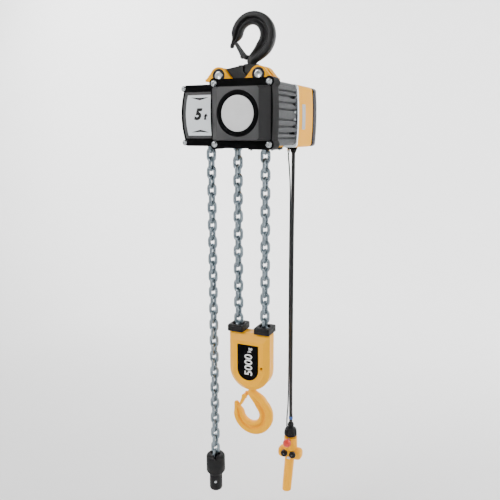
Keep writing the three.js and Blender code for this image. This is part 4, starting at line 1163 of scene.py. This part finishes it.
def makeBoot():
    # Pleats: radius = profile(z) * (1 + depth(z) * cos(9 * angle)), deepest between shoulder and rim.
    p = pendant
    profile = np.array([[0, -1459], [7.2, -1459.2], [8.4, -1461], [11.6, -1466], [12.6, -1470.5],
                        [11.8, -1475], [10.4, -1479], [10.4, -1482.5], [14, -1484.6], [19.2, -1485.2],
                        [21.2, -1487.5], [21.8, -1493], [22.6, -1498], [23.6, -1505], [24.4, -1510],
                        [24.8, -1513], [24, -1513.8], [0, -1513.8]])
    pleat = np.interp(profile[:, 1], [-1513, -1509, -1492, -1486], [0.0, 0.09, 0.1, 0.0])
    turn = np.linspace(0, 2 * math.pi, 108, endpoint=False)
    radius = profile[:, :1] * (1 + pleat[:, None] * np.cos(9 * turn)[None, :])
    rings = np.stack([p["x"] + radius * np.cos(turn), p["y"] + radius * np.sin(turn),
                      np.repeat(profile[:, 1:], len(turn), 1)], -1)
    boot = skin("control_boot", rings)
    finer = boot.modifiers.new("smooth", "SUBSURF")
    finer.levels = finer.render_levels = 1
    dress(boot, nitrileRubber, "pendant", "rubber", "pendant_boot")
    low, high = p["tie"]
    tie = turnedPiece("cord_tie", [[6.6, low], [7.6, low], [8.2, low + 1.2], [8.2, high - 1.2], [7.6, high],
                                   [6.6, high], [6.6, low]], "z", [p["x"], p["y"], 0], 40)
    dress(tie, blueNylon, "pendant", "cable_sheath")


def makeHandset():
    # A turned head, a cross piece whose section is sign(v) * |v|^0.75 and whose ends round off as
    # sqrt(1 - u^8), and a round grip that leans to the left.
    p = pendant
    x, y = p["x"], p["y"]
    head = turnedPiece("handset_head", [
        [0, p["headTop"]], [24.6, p["headTop"]], [25.8, -1522.4], [26.6, -1540], [27, -1566],
        [27, p["headFoot"]], [0, p["headFoot"]]], "z", [x, y, 0], 64)
    u = np.linspace(-1, 1, 41)
    swell = np.sqrt(np.clip(1 - u ** 8, 0, 1))
    half = 22.4 * swell * (1 - 0.08 * np.cos(u * math.pi / 2) ** 2)
    deep = 25.8 * swell * (0.94 + 0.06 * u ** 2)
    turn = np.linspace(0, 2 * math.pi, 48, endpoint=False)
    c, s = np.cos(turn), np.sin(turn)
    square = lambda v: np.sign(v) * np.abs(v) ** 0.75
    rings = np.stack([np.repeat((x + 49 * u)[:, None], 48, 1), y + deep[:, None] * square(c)[None, :],
                      p["cross"] + half[:, None] * square(s)[None, :]], -1)
    cross = skin("tool", rings)
    t = np.linspace(0, 1, 13)
    lean = math.tan(math.radians(p["lean"]))
    centre = np.stack([x - 1 - lean * (167 * t), np.full(13, y), -1590 - 167 * t], 1)
    turn = np.linspace(0, 2 * math.pi, 40, endpoint=False)
    grip = 19.2 - 0.9 * t
    grip[-2:] = grip[-2:] * [1.0, 0.97]
    rings = centre[:, None, :] + grip[:, None, None] * np.stack([np.cos(turn), np.sin(turn), 0 * turn],
                                                                1)[None]
    gripPiece = skin("tool", rings)
    combine(head, "UNION", cross, gripPiece)
    places = (x - p["buttonX"], x + p["buttonX"])
    bores = [rod("tool", 13.4, "y", y - 40, y - 19, (place, 0, p["buttonZ"]), 40) for place in places]
    bores.append(rod("tool", 9.6, "y", y - 40, y - 12, (x, 0, p["stopZ"]), 40))
    combine(head, "DIFFERENCE", *bores)
    bevel(head, 1.2, 3, 35)
    dress(head, yellowNylon, "pendant", "yellow_paint", "pendant_body")
    for name, u in (("up", -p["buttonX"]), ("down", p["buttonX"])):
        bezel = turnedPiece(name + "_bezel", [
            [12.3, y - 20], [13.3, y - 20], [13.3, y - 27.5], [12.9, y - 28.2], [12.5, y - 28],
            [12.3, y - 27], [12.3, y - 20]],
            "y", [x + u, 0, p["buttonZ"]], 48)
        dress(bezel, greyNylon, "pendant", "grey_plastic")
        cap = turnedPiece(name + "_push", [
            [0, y - 19], [11.8, y - 19], [11.8, y - 31.5], [11.2, y - 33.2], [9.6, y - 34],
            [7.4, y - 33.6], [0, y - 32.6]],
            "y", [x + u, 0, p["buttonZ"]], 48)
        dress(cap, nitrileRubber, name + "_button", "rubber", name + "_button")
        tip = -1 if name == "down" else 1
        arrow = prism(name + "_arrow", [
            [x + u - 4.5, p["buttonZ"] - 2.5 * tip], [x + u + 4.5, p["buttonZ"] - 2.5 * tip],
            [x + u, p["buttonZ"] + 4.5 * tip]],
            y - 33.6, y - 31)
        dress(arrow, greyInk, name + "_button", "rubber")
    stop = turnedPiece("stop_mushroom", [
        [0, y - 17], [8.9, y - 17], [8.9, y - 36], [13.2, y - 37.2], [15.6, y - 39.2], [16, y - 42],
        [15.2, y - 47], [12.6, y - 51], [8.4, y - 53.2], [0, y - 54]], "y", [x, 0, p["stopZ"]], 56)
    dress(stop, redAcetal, "stop_button", "red_plastic", "stop_button")
    mark = prism("handset_mark", [[x - 6, -1606], [x + 8, -1606], [x + 4.5, -1597], [x - 2.5, -1597]],
                 y - 27.4, y - 20)
    bevel(mark, 0.6, 2, 35)
    dress(mark, polyesterFilm, "pendant", "plate_white")


makeGland()
makeBoot()
makeHandset()
print("pendant control")


# CAD pieces that show through gaps, or not at all, keep their shape and get their real finish.
innerFinish = {
    "top_hook_nut": zincPlate, "thrust_bearing": groundSteel, "load_hook_nut": zincPlate,
    "contactor": blackNylon, "stator": enamelledCopper, "brake_magnet": blackOxide,
    "bearing_plate": machinedAluminium, "motor_shaft": groundSteel, "rotor_core": groundSteel,
    "intermediate_gear": groundSteel, "output_gear": groundSteel, "load_wheel": groundSteel,
    "idler_wheel": groundSteel, "idler_axle": groundSteel, "hook_crosshead": phosphatedSteel,
}
for nodeName, look in innerFinish.items():
    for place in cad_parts[nodeName].material_slots:
        place.material = look
print("inner pieces")


# Studio: a pale seamless bowl, a broad key from the left, a soft fill, a top light and two wall lamps.
studio = {
    "floor": -1.9, "radius": 5.5, "rise": 4.0, "curve": 2.5, "world": 0.25,
    "lamps": (("key", (-2.0, -2.6, 1.5), (0, 0, -0.6), 1.3, 95),
              ("fill", (2.8, -1.6, 0.4), (0, 0, -0.8), 1.6, 12),
              ("top", (0.6, 1.0, 2.2), (0, 0, -0.3), 1.4, 16),
              ("wall left", (-2.6, 2.2, 1.6), (-1.2, 5.2, -0.6), 2.5, 230),
              ("wall right", (2.6, 2.2, 1.6), (1.2, 5.2, -0.6), 2.5, 230)),
}


def makeStudio():
    # The bowl's profile: flat to radius - curve, then a quarter circle, then straight up.
    s = studio
    turn = np.linspace(0, math.pi / 2, 13)
    r = np.concatenate([[0.01, 1.5], s["radius"] - s["curve"] + s["curve"] * np.sin(turn), [s["radius"]]])
    z = np.concatenate([[0, 0], s["curve"] * (1 - np.cos(turn)), [s["rise"] + s["curve"]]]) + s["floor"]
    around = np.linspace(0, 2 * math.pi, 96, endpoint=False)
    points = np.stack([r[:, None] * np.cos(around), r[:, None] * np.sin(around),
                       np.repeat(z[:, None], 96, 1)], -1)
    mesh = bpy.data.meshes.new("studio_floor")
    mesh.from_pydata(points.reshape(-1, 3).tolist(), [], gridFaces(len(r), 96).tolist() + [list(range(96))])
    mesh.shade_smooth()
    floor = bpy.data.objects.new("studio_floor", mesh)
    bpy.context.scene.collection.objects.link(floor)
    floor.data.materials.append(finish("matt backdrop paper", {
        "dark": "#f4f4f4", "light": "#fafafa", "drift": 800, "rough": (0.8, 0.9), "grain": 12,
        "bump": 0.05, "depth": 0.2}))
    world = bpy.data.worlds.new("studio world")
    world.use_nodes = True
    world.node_tree.nodes["Background"].inputs["Color"].default_value = (1, 1, 1, 1)
    world.node_tree.nodes["Background"].inputs["Strength"].default_value = s["world"]
    bpy.context.scene.world = world
    for name, place, aim, size, power in s["lamps"]:
        lamp = bpy.data.lights.new(name, "AREA")
        lamp.size = size
        lamp.energy = power
        holder = bpy.data.objects.new(name, lamp)
        holder.location = place
        direction = np.array(aim, float) - np.array(place, float)
        holder.rotation_euler = [math.atan2(math.hypot(direction[0], direction[1]), -direction[2]), 0,
                                 math.atan2(-direction[0], direction[1])]
        bpy.context.scene.collection.objects.link(holder)


makeStudio()
print("studio")
